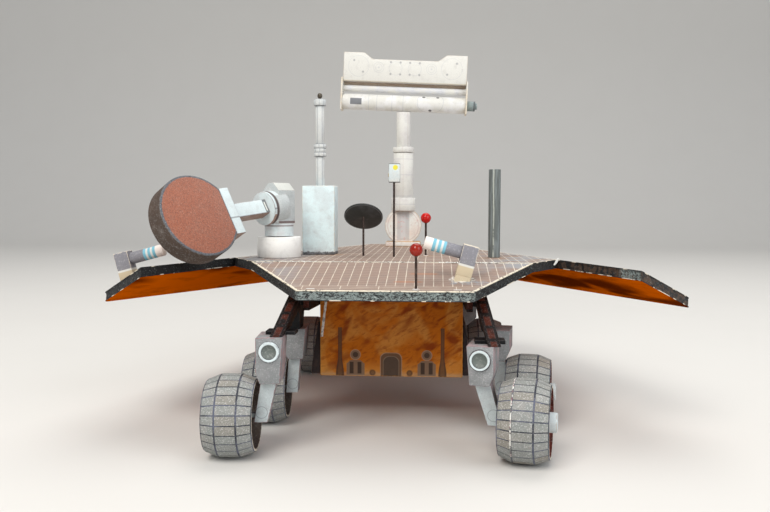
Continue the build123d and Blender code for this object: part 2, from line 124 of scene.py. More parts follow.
def length(name, description, millimetres):
    return FloatProperty(
        name=name, description=description, default=millimetres * MM, min=0, unit="LENGTH", precision=5
    )


class RoverSizes(bpy.types.PropertyGroup):
    """Sizes of the folds, seams, prints and wear."""

    fold: length("Fold", "Rounding of a folded card edge", 0.22)
    facet_seam: length("Facet seam", "Scored line between two facets of a wheel", 0.42)
    band_seam: length("Band seam", "Scored line between two bands of a wheel", 0.6)
    card: length("Card", "Thickness of the card on the wheels", 0.14)
    ragged: length("Ragged edge", "How far the foam edge of a board is worn in", 0.42)
    cell: length("Solar cell", "Width of one printed solar cell", 3.06)
    cell_line: length("Cell line", "Width of the line between printed cells", 0.24)
    paper_edge: length("Paper edge", "Width of bare paper along a board's edge", 0.75)
    crumb: length("Crumb", "Size of the crumbs on a cut foam edge", 0.19)
    flake: length("Flake", "Size of the torn paper flakes along the fold", 0.42)
    flakes: IntProperty(name="Flakes", description="Torn flakes along the fold", default=230, min=0)


class RoverColours(bpy.types.PropertyGroup):
    """Colours of the card, prints and beads."""

    wheel: paint("Wheel card", "Printed card of the wheels", 136, 140, 137)
    wheel_warm: paint("Wheel card, warm", "Facets of the wheels that are browned", 140, 124, 104)
    wheel_ink: paint("Wheel ink", "Scored lines of the wheels", 40, 43, 54)
    wheel_well: paint("Wheel well", "Print inside the open side of a wheel", 126, 52, 40)
    housing: paint("Housing card", "Speckled card of the leg housings", 131, 134, 135)
    bracket: paint("Bracket card", "Pale card of the leg brackets", 194, 204, 206)
    fold_tint: paint("Fold tint", "Ink along the folded edges", 138, 84, 90)
    hub_grey: paint("Boss centre", "Printed centre of the housing bosses", 98, 106, 102)
    white: paint("White card", "Bare white card", 221, 220, 214)
    cool_white: paint("Cool white card", "Bluish white card", 208, 220, 222)
    cream: paint("Cream paper", "Cut paper edges", 224, 214, 194)
    cell_ink: paint("Cell lines", "Thin lines between the printed solar cells", 240, 230, 212)
    solar: paint("Solar print", "Printed solar cells", 142, 119, 107)
    solar_cool: paint("Solar print, cool", "Bluish patches of the solar print", 142, 146, 152)
    marker: paint("Marker", "Black marker on the foam edges", 18, 19, 21)
    scuffed: paint("Scuffed edge", "Worn places on the foam edges", 142, 154, 152)
    foil: paint("Foil print", "Golden foil print of the box", 184, 101, 24)
    foil_dark: paint("Foil print, dark", "Red-brown wrinkles of the foil print", 124, 50, 18)
    foil_pale: paint("Foil print, pale", "Pale places of the foil print", 204, 144, 72)
    wing_foil: paint("Wing foil", "Orange foil print under the wings", 200, 90, 0)
    wing_crease: paint("Wing crease", "Dark wrinkles of the orange foil print", 84, 28, 2)
    motif: paint("Hardware print", "Printed fittings on the box", 92, 68, 52)
    arm: paint("Arm print", "Near-black print of the suspension arms", 16, 9, 8)
    arm_block: paint("Arm blocks", "Brick-red blocks printed on the arms", 70, 27, 13)
    felt: paint("Dish face", "Felt-like face of the dish", 160, 94, 70)
    dish_border: paint("Dish border", "Thin blue-grey line round the face of the dish", 92, 95, 101)
    dish_rim: paint("Dish rim", "Dark wall of the dish", 70, 56, 47)
    whip: paint("Whip print", "Mottled tube of the whip antenna", 92, 98, 96)
    disc: paint("Black card", "Black card of the disc", 38, 42, 42)
    post: paint("Post print", "Speckled print of the small posts", 132, 131, 138)
    stripe: paint("Stripe", "Blue stripes of the barrels", 122, 184, 204)
    bead: paint("Bead", "Glossy red bead of the far pin", 190, 8, 6)
    near_bead: paint("Near bead", "Glossy orange-red bead of the near pin", 142, 22, 2)
    steel: paint("Pin", "Dark steel of the pins", 62, 48, 44)
    floor: paint("Floor", "Plain pale floor", 216, 214, 210)


def sizes():
    return bpy.context.scene.rover_sizes


def hue(name):
    return (*getattr(bpy.context.scene.rover_colours, name), 1.0)


class Num:
    """A number socket that can be used in sums."""

    def __init__(self, net, socket):
        self.net = net
        self.socket = socket

    def __add__(self, other):
        return self.net.math("ADD", self, other)

    __radd__ = __add__

    def __sub__(self, other):
        return self.net.math("SUBTRACT", self, other)

    def __rsub__(self, other):
        return self.net.math("SUBTRACT", other, self)

    def __mul__(self, other):
        return self.net.math("MULTIPLY", self, other)

    __rmul__ = __mul__

    def __truediv__(self, other):
        return self.net.math("DIVIDE", self, other)

    def __rtruediv__(self, other):
        return self.net.math("DIVIDE", other, self)

    def __abs__(self):
        return self.net.math("ABSOLUTE", self)


class Net:
    """A node tree, of a material or of geometry, that is filled by expressions."""

    def __init__(self, tree):
        self.tree = tree
        self.tree.nodes.clear()

    def node(self, kind, settings=None, sockets=None):
        made = self.tree.nodes.new(kind)
        for key, value in (settings or {}).items():
            if key == "stops":
                ramp = made.color_ramp
                while len(ramp.elements) < len(value):
                    ramp.elements.new(0.5)
                for element, (place, colour) in zip(ramp.elements, value):
                    element.position, element.color = place, colour
            else:
                setattr(made, key, value)
        for key, value in (sockets or {}).items():
            self.feed(made.inputs[key], value)
        return made

    def feed(self, socket, value):
        if isinstance(value, Num):
            value = value.socket
        if isinstance(value, bpy.types.NodeSocket):
            self.tree.links.new(value, socket)
        else:
            socket.default_value = value

    def math(self, operation, *terms):
        made = self.node("ShaderNodeMath", {"operation": operation}, dict(enumerate(terms)))
        return Num(self, made.outputs[0])

    def most(self, first, second):
        return self.math("MAXIMUM", first, second)

    def far(self, across, up):
        return self.math("SQRT", across * across + up * up)

    def step(self, value, start, end, low=0.0, high=1.0):
        """Goes smoothly from low to high as the value goes from start to end."""
        made = self.node(
            "ShaderNodeMapRange",
            {"interpolation_type": "SMOOTHSTEP"},
            {"Value": value, "From Min": start, "From Max": end, "To Min": low, "To Max": high},
        )
        return Num(self, made.outputs[0])

    def fall(self, value, start, end):
        """Goes smoothly from 1 to 0 as the value goes from start to end."""
        return self.step(value, start, end, 1.0, 0.0)

    def xyz(self, vector):
        made = self.node("ShaderNodeSeparateXYZ", None, {0: vector})
        return [Num(self, made.outputs[i]) for i in range(3)]

    def joined(self, x, y, z):
        return self.node("ShaderNodeCombineXYZ", None, {0: x, 1: y, 2: z}).outputs[0]


class Finish(Net):
    """A printed or painted surface: a colour built up in layers, and the height of what stands on it."""

    def __init__(self, name, colour, rough=0.78):
        self.material = bpy.data.materials.new(name)
        self.material.use_nodes = True
        super().__init__(self.material.node_tree)
        self.surface = self.node("ShaderNodeBsdfPrincipled")
        self.node("ShaderNodeOutputMaterial", None, {"Surface": self.surface.outputs[0]})
        place = self.node("ShaderNodeTexCoord")
        in_mm = self.node("ShaderNodeMapping", {"vector_type": "POINT"}, {
            "Vector": place.outputs["Object"], "Scale": (1 / MM,) * 3,
        })
        self.where = in_mm.outputs[0]
        self.u, self.v, _ = self.xyz(self.node("ShaderNodeUVMap", {"uv_map": "flat"}).outputs[0])
        self.colour = colour
        self.rough = Num(self, self.node("ShaderNodeValue").outputs[0])
        self.rough.socket.default_value = rough
        self.heights = []

    def mix(self, share, first, second, blend="MIX"):
        made = self.node(
            "ShaderNodeMix", {"data_type": "RGBA", "blend_type": blend}, {0: share, 6: first, 7: second}
        )
        return made.outputs[2]

    def lay(self, share, colour, blend="MIX"):
        """Lays a colour over what is there, by its share."""
        self.colour = self.mix(share, self.colour, colour, blend)
        return self

    def noise(self, size, detail=3.0, rough=0.55, bent=0.0, where=None):
        """Soft noise from about 0.3 to 0.7, whose lumps are about this many millimetres across."""
        made = self.node("ShaderNodeTexNoise", None, {
            "Vector": self.where if where is None else where,
            "Scale": 1.0 / size,
            "Detail": detail,
            "Roughness": rough,
            "Distortion": bent,
        })
        return Num(self, made.outputs[0])

    def patch(self, size, low=0.42, high=0.62, **more):
        return self.step(self.noise(size, **more), low, high)

    def blotch(self, colour, share, size, low=0.42, high=0.62, **more):
        """Lays a colour in patches about this many millimetres across."""
        return self.lay(self.patch(size, low, high, **more) * share, colour)

    def stretched(self, x, y, z, slant=0.0):
        """Coordinates for lumps this many millimetres long each way, slanted about Y."""
        made = self.node("ShaderNodeMapping", {"vector_type": "TEXTURE"}, {
            "Vector": self.where, "Rotation": (0, slant, 0), "Scale": (x, y, z),
        })
        return made.outputs[0]

    def lines(self, value, spacing, width, soft=0.12):
        """A line of this width at each multiple of the spacing."""
        share = self.math("FRACT", value / spacing + 0.5)
        return self.fall(abs(share - 0.5) * spacing, width / 2 - soft / 2, width / 2 + soft / 2)

    def band(self, value, low, high, soft=0.12):
        return self.step(value, low - soft, low + soft) * self.fall(value, high - soft, high + soft)

    def square(self, u, v, soft=0.12):
        return self.band(self.u, *u, soft) * self.band(self.v, *v, soft)

    def from_point(self, u, v):
        return self.far(self.u - u, self.v - v)

    def spot(self, u, v, radius, soft=0.12):
        return self.fall(self.from_point(u, v), radius - soft, radius + soft)

    def circle(self, u, v, radius, width, soft=0.08):
        return self.fall(abs(self.from_point(u, v) - radius), width / 2 - soft, width / 2 + soft)

    def folds(self, tint, share=0.8):
        """Ink or bare paper along the rounded folds."""
        mark = Num(self, self.node("ShaderNodeAttribute", {"attribute_name": "fold"}).outputs["Fac"])
        self.lay(mark * self.step(self.noise(1.3), 0.35, 0.6) * share, tint)
        return self

    def speckle(self, dark=0.14, size=0.34):
        """The grain of a home print: fine dark and light specks."""
        self.lay(self.step(self.noise(size, 2.0), 0.5, 0.72) * dark, (0.03, 0.03, 0.04, 1))
        self.lay(self.step(self.noise(size * 1.7, 2.0), 0.52, 0.7) * dark * 0.8, (0.95, 0.95, 0.95, 1))
        return self

    def rise(self, value, millimetres):
        """Something that stands this high on the surface where the value is 1."""
        self.heights.append(value * millimetres)
        return self

    def fibres(self, millimetres=0.035):
        """Paper fibres, felt between the fingers more than seen."""
        fine = self.noise(0.22, 4.0, 0.7) + self.noise(1.6, 2.0) * 1.2
        return self.rise(fine, millimetres)

    def close(self, **fixed):
        """Joins everything to the surface; fixed values go on the shader's own sockets."""
        self.feed(self.surface.inputs["Base Color"], self.colour)
        uneven = self.rough + (self.noise(2.4) - 0.5) * 0.22
        self.feed(self.surface.inputs["Roughness"], uneven)
        if self.heights:
            height = self.heights[0]
            for more in self.heights[1:]:
                height = height + more
            bump = self.node("ShaderNodeBump", None, {"Strength": 1.0, "Distance": MM, "Height": height})
            self.feed(self.surface.inputs["Normal"], bump.outputs[0])
        for key, value in fixed.items():
            self.surface.inputs[key.replace("_", " ")].default_value = value
        return self.material


def clean_copy(node):
    """A merged copy of a CAD node's triangles, with its flat faces whole again, in millimetres."""
    mesh = bmesh.new()
    mesh.from_mesh(nodes[node].data)
    bmesh.ops.scale(mesh, vec=(1 / MM,) * 3, verts=mesh.verts)
    bmesh.ops.remove_doubles(mesh, verts=mesh.verts, dist=0.002)
    bmesh.ops.dissolve_limit(mesh, angle_limit=math.radians(0.6), verts=mesh.verts, edges=mesh.edges)
    return mesh


def round_folds(mesh, width, over=25.0, steps=2):
    """Rounds the sharp edges and marks the new strips, so that a finish can wear them."""
    fold = mesh.faces.layers.float.get("fold") or mesh.faces.layers.float.new("fold")
    sharp = [
        e for e in mesh.edges if len(e.link_faces) == 2 and e.calc_face_angle(0.0) > math.radians(over)
    ]
    made = bmesh.ops.bevel(
        mesh, geom=sharp, offset=width, offset_type="OFFSET", segments=steps, profile=0.5,
        affect="EDGES", clamp_overlap=True,
    )
    for face in made["faces"]:
        face[fold] = 1.0


# The ways across and up a face that looks mainly along X, Y or Z
FACE_AXES = (((0, 1, 0), (0, 0, 1)), ((1, 0, 0), (0, 0, 1)), ((1, 0, 0), (0, 1, 0)))


def lay_flat(mesh, rules):
    """Gives each face a finish and flat coordinates in millimetres.

    A rule is (finish index, the way the face looks, origin, across, up). The first that suits the face is
    used, and a rule whose way is None takes what is left.
    """
    flat = mesh.loops.layers.uv.get("flat") or mesh.loops.layers.uv.new("flat")
    mesh.normal_update()
    for face in mesh.faces:
        for index, way, origin, across, up in rules:
            if way is None or face.normal.dot(Vector(way)) > 0.7:
                break
        face.material_index = index
        if across is None:
            across, up = FACE_AXES[max(range(3), key=lambda i: abs(face.normal[i]))]
        for loop in face.loops:
            away = loop.vert.co - Vector(origin)
            loop[flat].uv = (away.dot(Vector(across)), away.dot(Vector(up)))


ANY_SIDE = (0, None, (0, 0, 0), None, None)


def piece_from(data, name, body, stands_for=()):
    """Stands a ready mesh in the scene as a piece that rides on a body."""
    piece = bpy.data.objects.new(name, data)
    bpy.context.scene.collection.objects.link(piece)
    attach(piece, body)
    if stands_for:
        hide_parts(*stands_for)


def put(name, mesh, finishes, body, slot, stands_for=(), curved=25.0):
    """Ends a mesh in millimetres as a piece that rides on a body.

    Fold strips and the facets of curved faces are shaded smooth, and flat card stays flat.
    """
    fold = mesh.faces.layers.float.get("fold")
    mesh.normal_update()
    for face in mesh.faces:
        face.smooth = bool(fold and face[fold])
        for edge in () if face.smooth else face.edges:
            for other in edge.link_faces:
                if other is not face and not (fold and other[fold]):
                    bend = math.degrees(face.normal.angle(other.normal, 0.0))
                    face.smooth = face.smooth or 0.5 < bend < curved
    bmesh.ops.scale(mesh, vec=(MM,) * 3, verts=mesh.verts)
    data = bpy.data.meshes.new(name)
    mesh.to_mesh(data)
    mesh.free()
    for finish in finishes:
        data.materials.append(finish)
    data.set_sharp_from_angle(angle=math.radians(50.0))
    piece_from(data, name, body, stands_for)


def body_of(node):
    return nodes[node]["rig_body"]


def slot_of(node):
    return next(row["material_slot"] for row in frame["record"]["subparts"] if row["node"] == node)


def dress(node, name, mesh, finishes, **more):
    """Ends a mesh as the piece that stands for a CAD node."""
    put(name, mesh, finishes, body_of(node), slot_of(node), (node,), **more)


def folded(node, name, finishes, rules=(ANY_SIDE,), width=None, over=25.0):
    """A CAD node as folded card: softened folds, flat coordinates and finishes by face."""
    mesh = clean_copy(node)
    round_folds(mesh, (sizes().fold / MM) if width is None else width, over)
    lay_flat(mesh, rules)
    dress(node, name, mesh, finishes)


def lathe(mesh, origin, axis, profile, around=40, seam=None, finish=0):
    """Turns a profile of (distance along, radius) about an axis.

    Flat coordinates are the way round and the distance along. A seam is (radius gain, degrees): the overlap
    of a rolled sheet, which stands a little proud.
    """
    flat = mesh.loops.layers.uv.get("flat") or mesh.loops.layers.uv.new("flat")
    turn = Vector(axis).to_track_quat("Z", "X").to_matrix()
    rings = []
    for along, radius in profile:
        ring = []
        for i in range(around):
            angle = math.tau * i / around
            grown = radius
            if seam and radius > 0.5 and math.degrees(angle) < seam[1]:
                grown = radius + seam[0]
            point = Vector((grown * math.cos(angle), grown * math.sin(angle), along))
            ring.append(mesh.verts.new(Vector(origin) + turn @ point))
        rings.append(ring)
    faces = []
    for (along_a, radius_a), (along_b, radius_b), a, b in zip(profile, profile[1:], rings, rings[1:]):
        for i in range(around):
            j = (i + 1) % around
            face = mesh.faces.new((a[i], a[j], b[j], b[i]))
            for loop, (turnings, along) in zip(
                face.loops, ((i, along_a), (i + 1, along_a), (i + 1, along_b), (i, along_b))
            ):
                loop[flat].uv = (turnings / around * math.tau * max(radius_a, radius_b), along)
            faces.append(face)
    for ring, rising in ((rings[0], False), (rings[-1], True)):
        face = mesh.faces.new(ring if rising else ring[::-1])
        for loop in face.loops:
            loop[flat].uv = (0.0, profile[-1 if rising else 0][0])
        faces.append(face)
    for face in faces:
        face.material_index = finish
    return faces


def torn_round(mesh, place, normal, radius, ragged, seed):
    """A small torn round of paper that lies on a board."""
    turn = Vector(normal).to_track_quat("Z", "X").to_matrix()
    rings = []
    for level, inset in ((-0.02, 0.0), (0.09, 0.14)):
        ring = []
        for i in range(32):
            way = Vector((math.cos(math.tau * i / 32), math.sin(math.tau * i / 32), 0))
            reach = radius - inset + ragged * noise.noise(way * 2.2 + Vector((0, 0, seed)))
            ring.append(mesh.verts.new(Vector(place) + turn @ (way * reach + UP * level)))
        rings.append(ring)
    low, high = rings
    for i in range(32):
        mesh.faces.new((low[i], low[(i + 1) % 32], high[(i + 1) % 32], high[i]))
    mesh.faces.new(low[::-1])
    mesh.faces.new(high)


def ribbon(mesh, rows):
    """Closes rows of four corners each into a strip of paper."""
    rows = [[mesh.verts.new(corner) for corner in row] for row in rows]
    for a, b in zip(rows, rows[1:]):
        for i in range(4):
            mesh.faces.new((a[i], a[(i + 1) % 4], b[(i + 1) % 4], b[i]))
    mesh.faces.new(rows[0][::-1])
    mesh.faces.new(rows[-1])
    bmesh.ops.recalc_face_normals(mesh, faces=mesh.faces)


def rounded_ends(stretches, soft=0.18):
    """A profile of stacked drums, (radius, start, end), each with softly rounded rims."""
    profile = []
    for radius, start, end in stretches:
        profile += [(start, radius - soft), (start + soft, radius)]
        profile += [(end - soft, radius), (end, radius - soft)]
    return profile


def rolled(node, name, origin, axis, profile, finishes, around=40, seam=None):
    """A CAD node as rolled card. A second finish goes on the far end."""
    mesh = bmesh.new()
    lathe(mesh, origin, axis, profile, around, seam)[-1].material_index = len(finishes) - 1
    dress(node, name, mesh, finishes)


def grown(net_tree, name, settings):
    """Runs a geometry tree with its named inputs and gives the plain mesh that it makes."""
    start = bpy.data.objects.new(name + "_maker", bpy.data.meshes.new(name))
    bpy.context.scene.collection.objects.link(start)
    maker = start.modifiers.new("maker", "NODES")
    maker.node_group = net_tree
    for socket in net_tree.interface.items_tree:
        if socket.in_out == "INPUT" and socket.name in settings:
            maker[socket.identifier] = settings[socket.name]
    ready = start.evaluated_get(bpy.context.evaluated_depsgraph_get())
    data = bpy.data.meshes.new_from_object(ready)
    bpy.data.objects.remove(start)
    if not data.polygons:
        raise RuntimeError(f"{name} came out empty")
    data.name = name
    return data


def geometry_net(name, inputs):
    """A geometry tree with named inputs, and the numbers that they give."""
    tree = bpy.data.node_groups.new(name, "GeometryNodeTree")
    net = Net(tree)
    for label, kind, default in inputs:
        socket = tree.interface.new_socket(name=label, in_out="INPUT", socket_type=kind)
        if default is not None:
            socket.default_value = default
    tree.interface.new_socket(name="Geometry", in_out="OUTPUT", socket_type="NodeSocketGeometry")
    entry = net.node("NodeGroupInput")
    given = {label: entry.outputs[label] for label, _, _ in inputs}
    for label, kind, _ in inputs:
        if kind in ("NodeSocketFloat", "NodeSocketInt"):
            given[label] = Num(net, entry.outputs[label])
    return net, given


def end_tree(net, geometry, material):
    whole = net.node("GeometryNodeRealizeInstances", None, {"Geometry": geometry})
    coloured = net.node("GeometryNodeSetMaterial", None, {"Geometry": whole.outputs[0], "Material": material})
    net.node("NodeGroupOutput", None, {"Geometry": coloured.outputs[0]})
    return net.tree


# The two geometry trees, once main has made them
TREES = {}


def wheel_skin_tree():
    """Three bands of thin card plates round a wheel, with the score lines open between them."""
    net, given = geometry_net("wheel_skin", [
        ("Radius", "NodeSocketFloat", WHEEL_RADIUS * MM),
        ("Rim Radius", "NodeSocketFloat", RIM_RADIUS * MM),
        ("Middle Band", "NodeSocketFloat", MIDDLE_BAND * MM),
        ("Side Band", "NodeSocketFloat", SIDE_BAND * MM),
        ("Facets", "NodeSocketInt", FACETS),
        ("Facet Seam", "NodeSocketFloat", 0.0003),
        ("Band Seam", "NodeSocketFloat", 0.0005),
        ("Card", "NodeSocketFloat", 0.00014),
        ("Seed", "NodeSocketInt", 3),
        ("Material", "NodeSocketMaterial", None),
    ])
    radius, rim = given["Radius"], given["Rim Radius"]
    middle, side = given["Middle Band"], given["Side Band"]
    half = middle / 2
    slope = (radius - rim) / side
    step_angle = math.tau / given["Facets"]
    bands = [(0.0 - half - side, 0.0 - half), (0.0 - half, half), (half, half + side)]
    joined = net.node("GeometryNodeJoinGeometry")
    for row, (low, high) in enumerate(bands):
        grid = net.node("GeometryNodeMeshGrid", None, {
            "Size X": 1.0, "Size Y": 1.0, "Vertices X": 5, "Vertices Y": 3,
        })
        x, y, _ = net.xyz(net.node("GeometryNodeInputPosition").outputs[0])
        along = low + given["Band Seam"] / 2 + (x + 0.5) * (high - low - given["Band Seam"])
        level = radius - net.most(abs(along) - half, 0.0) * slope
        wide = level * net.math("TANGENT", step_angle / 2) - given["Facet Seam"] / 2
        sag = (1.0 - abs(y) * 2.0) * given["Card"] * 0.25
        height = level - given["Card"] * 0.25 + sag
        placed = net.node("GeometryNodeSetPosition", None, {
            "Geometry": grid.outputs[0], "Position": net.joined(along, y * 2.0 * wide, height),
        })
        under = net.node("GeometryNodeExtrudeMesh", {"mode": "FACES"}, {
            "Mesh": placed.outputs[0], "Offset Scale": 0.0 - given["Card"], "Individual": False,
        })
        turned = net.node("GeometryNodeFlipFaces", None, {"Mesh": under.outputs[0]})
        slab = net.node("GeometryNodeJoinGeometry")
        net.feed(slab.inputs[0], placed.outputs[0])
        net.feed(slab.inputs[0], turned.outputs[0])
        plate = net.node("GeometryNodeMergeByDistance", None, {"Geometry": slab.outputs[0], "Distance": 2e-6})
        points = net.node("GeometryNodePoints", None, {"Count": given["Facets"]})
        index = Num(net, net.node("GeometryNodeInputIndex").outputs[0])
        around = net.node("GeometryNodeInstanceOnPoints", None, {
            "Points": points.outputs[0], "Instance": plate.outputs[0],
            "Rotation": net.joined(index * step_angle, 0.0, 0.0),
        })
        chance = net.node("FunctionNodeRandomValue", {"data_type": "FLOAT"}, {
            "ID": index, "Seed": given["Seed"] + row,
        })
        marked = net.node("GeometryNodeStoreNamedAttribute", {"data_type": "FLOAT", "domain": "INSTANCE"}, {
            "Geometry": around.outputs[0], "Name": "shade", "Value": chance.outputs[1],
        })
        net.feed(joined.inputs[0], marked.outputs[0])
    return end_tree(net, joined.outputs[0], given["Material"])


def flake_tree():
    """Small torn flakes, or crumbs, along a line of points from one place to another."""
    net, given = geometry_net("torn_flakes", [
        ("Start", "NodeSocketVector", (0, 0, 0)),
        ("End", "NodeSocketVector", (1, 0, 0)),
        ("Spread", "NodeSocketVector", (0, 0, 0)),
        ("Count", "NodeSocketInt", 100),
        ("Size", "NodeSocketFloat", 0.0003),
        ("Flatness", "NodeSocketFloat", 0.3),
        ("Seed", "NodeSocketInt", 7),
        ("Material", "NodeSocketMaterial", None),
    ])
    line = net.node("GeometryNodeMeshLine", {"mode": "END_POINTS"}, {
        "Count": given["Count"], "Start Location": given["Start"], "Offset": given["End"],
    })
    shift = net.node("FunctionNodeRandomValue", {"data_type": "FLOAT_VECTOR"}, {
        "Min": (-1, -1, -1), "Max": (1, 1, 1), "Seed": given["Seed"],
    })
    moved = net.node("ShaderNodeVectorMath", {"operation": "MULTIPLY"}, {
        0: shift.outputs[0], 1: given["Spread"],
    })
    placed = net.node("GeometryNodeSetPosition", None, {
        "Geometry": line.outputs[0], "Offset": moved.outputs[0],
    })
    bit = net.node("GeometryNodeMeshIcoSphere", None, {"Radius": given["Size"], "Subdivisions": 1})
    turn = net.node("FunctionNodeRandomValue", {"data_type": "FLOAT_VECTOR"}, {
        "Min": (-0.35, -0.35, 0), "Max": (0.35, 0.35, math.tau), "Seed": given["Seed"] + 1,
    })
    size = net.node("FunctionNodeRandomValue", {"data_type": "FLOAT"}, {
        "Min": 0.35, "Max": 1.0, "Seed": given["Seed"] + 2,
    })
    big = Num(net, size.outputs[1])
    spread = net.node("GeometryNodeInstanceOnPoints", None, {
        "Points": placed.outputs[0], "Instance": bit.outputs[0], "Rotation": turn.outputs[0],
        "Scale": net.joined(big * 1.7, big * 0.9, big * given["Flatness"]),
    })
    return end_tree(net, spread.outputs[0], given["Material"])


def grained(name, colour, tint=None, rough=0.8, speckle=0.12, spread=None):
    """Plain printed card: fibres, home-print grain, cloudy patches and marked folds."""
    card = Finish(name, colour, rough)
    if spread is not None:
        card.lay(card.patch(7.0, 0.4, 0.65), spread)
    card.blotch((0.35, 0.33, 0.31, 1), 0.18, 2.6, 0.5, 0.75)
    card.speckle(speckle)
    if tint is not None:
        card.folds(tint)
    return card.fibres()


def box_foil():
    return hue("foil"), hue("foil_dark"), hue("foil_pale")


def foil(name, colours, creases=1.0, deep=12.0, wide=9.0, slant=-0.5, fine=0.6):
    """Crumpled-foil print: warm patches with darker wrinkles, this many millimetres long and wide.

    The colours are those of the ground, the wrinkles and the pale places.
    """
    base, dark, pale = colours
    print_ = Finish(name, base, 0.62)
    print_.blotch(pale, 0.6, 11.0, 0.42, 0.66, bent=0.8)
    slanting = print_.stretched(wide, deep, wide / 2, slant)
    print_.lay(print_.patch(1.0, 0.5, 0.7, detail=1.2, bent=0.7, where=slanting) * 0.85 * creases, dark)
    small = print_.stretched(wide * 0.36, deep * 0.36, wide * 0.13, slant)
    print_.lay(print_.patch(1.0, 0.48, 0.7, detail=3.0, bent=0.5, where=small) * fine * creases, dark)
    ridge = abs(print_.noise(1.0, 1.5, 0.5, 1.2, where=print_.stretched(wide, deep * 0.8, wide)) - 0.5)
    print_.blotch(dark, 0.12, 0.3, 0.5, 0.72, detail=2.0)
    print_.rise(print_.step(ridge, 0.0, 0.08), 0.05)
    return print_.fibres(0.02)


class RoverOperator:
    """What the piece operators share."""

    bl_options = {"REGISTER", "UNDO"}


def top_face(node):
    """The way a board's upper face looks, and its corners."""
    mesh = clean_copy(node)
    mesh.normal_update()
    top = max((f for f in mesh.faces if f.normal.z > 0.8), key=lambda f: f.calc_area())
    normal, corners = top.normal.copy(), [v.co.copy() for v in top.verts]
    mesh.free()
    return normal, corners


def rough_board(node, name, finishes):
    """A foam board: paper skins at full size, and a cut foam edge between them that is worn in unevenly.

    The finishes are those of the top, the underside, the foam, the top's border, and the two skins.
    """
    looks_up, outline = top_face(node)
    middle = sum(outline, Vector()) / len(outline)
    ring = []
    for a, b in zip(outline, outline[1:] + outline[:1]):
        pieces = max(1, round((b - a).length / 0.75))
        ring += [a.lerp(b, i / pieces) for i in range(pieces)]
    inward = []
    for i, point in enumerate(ring):
        run = (ring[(i + 1) % len(ring)] - ring[i - 1]).normalized()
        side = run.cross(looks_up).normalized()
        inward.append(side if side.dot(middle - point) > 0 else -side)
    skin, step_in = 0.28, 0.15
    # Depth below the top, and how far in: millimetres on the skins, and the mark where the foam is worn in
    worn = 1.0
    levels = [(0.0, 0.06), (0.12, 0.0), (skin, 0.05), (skin + step_in, worn), (BOARD * 0.35, worn),
              (BOARD * 0.5, worn), (BOARD * 0.65, worn), (BOARD - skin - step_in, worn), (BOARD - skin, 0.05),
              (BOARD - 0.1, 0.0), (BOARD, 0.06)]
    ragged = sizes().ragged / MM
    mesh = bmesh.new()
    flat = mesh.loops.layers.uv.new("flat")
    mesh.faces.layers.float.new("fold")
    border = sizes().paper_edge / MM
    rings = []
    for depth, share in [(0.0, None), *levels, (BOARD, None)]:
        made = []
        for point, way in zip(ring, inward):
            low = point - UP * depth
            chance = noise.noise(low * 0.55) * 0.5 + noise.noise(low * 1.9) * 0.5 + 0.5
            if share is None:
                wander = 1.0 + 0.35 * noise.noise(low * 0.4)
                depth_in = border * wander
            elif share == worn:
                depth_in = 0.1 + ragged * max(0.0, min(1.0, chance))
            else:
                depth_in = share + 0.05 * chance
            made.append(mesh.verts.new(low + way * depth_in))
        rings.append(made)
    count = len(ring)
    travelled = 0.0
    for i in range(count):
        j = (i + 1) % count
        run = (ring[j] - ring[i]).length
        for k, (a, b) in enumerate(zip(rings, rings[1:])):
            face = mesh.faces.new((a[i], b[i], b[j], a[j]))
            face.material_index = (3, 4, 4, 2, 2, 2, 2, 2, 2, 5, 5, 1)[k]
            for loop in face.loops:
                if k == 0 or k == len(rings) - 2:
                    loop[flat].uv = (loop.vert.co.x, loop.vert.co.y - FOLD_Y)
                else:
                    out = travelled if loop.vert in (a[i], b[i]) else travelled + run
                    loop[flat].uv = (out, loop.vert.co.z)
        travelled += run
    for members, index in ((rings[0], 0), (rings[-1], 1)):
        face = mesh.faces.new(members if index == 0 else members[::-1])
        face.material_index = index
        for loop in face.loops:
            loop[flat].uv = (loop.vert.co.x, loop.vert.co.y - FOLD_Y)
    bmesh.ops.recalc_face_normals(mesh, faces=mesh.faces)
    bmesh.ops.triangulate(mesh, faces=[f for f in mesh.faces if len(f.verts) > 4])
    dress(node, name, mesh, finishes)


def solar_finish(name, reach):
    """Solar-cell print: cells in columns with cream lines, faded and bluish in places."""
    cell, line = sizes().cell / MM, sizes().cell_line / MM
    print_ = Finish(name, hue("solar"), 0.7)
    print_.blotch((0.22, 0.17, 0.15, 1), 0.35, 5.0, 0.4, 0.68)
    corner = print_.step(abs(print_.u), 22.0, 48.0) * print_.patch(9.0, 0.38, 0.58)
    print_.lay(corner * 0.85, hue("solar_cool"))
    rows = print_.lines(print_.v, 2.05, 0.14, 0.14)
    print_.lay(rows * 0.5, hue("cream"))
    faded = print_.step(print_.noise(4.0), 0.3, 0.6, 0.5, 1.0)
    print_.lay(print_.lines(print_.u, cell, line, 0.14) * faded * 0.72 * print_.band(print_.v, *reach, 0.3),
               hue("cell_ink"))
    return print_, faded


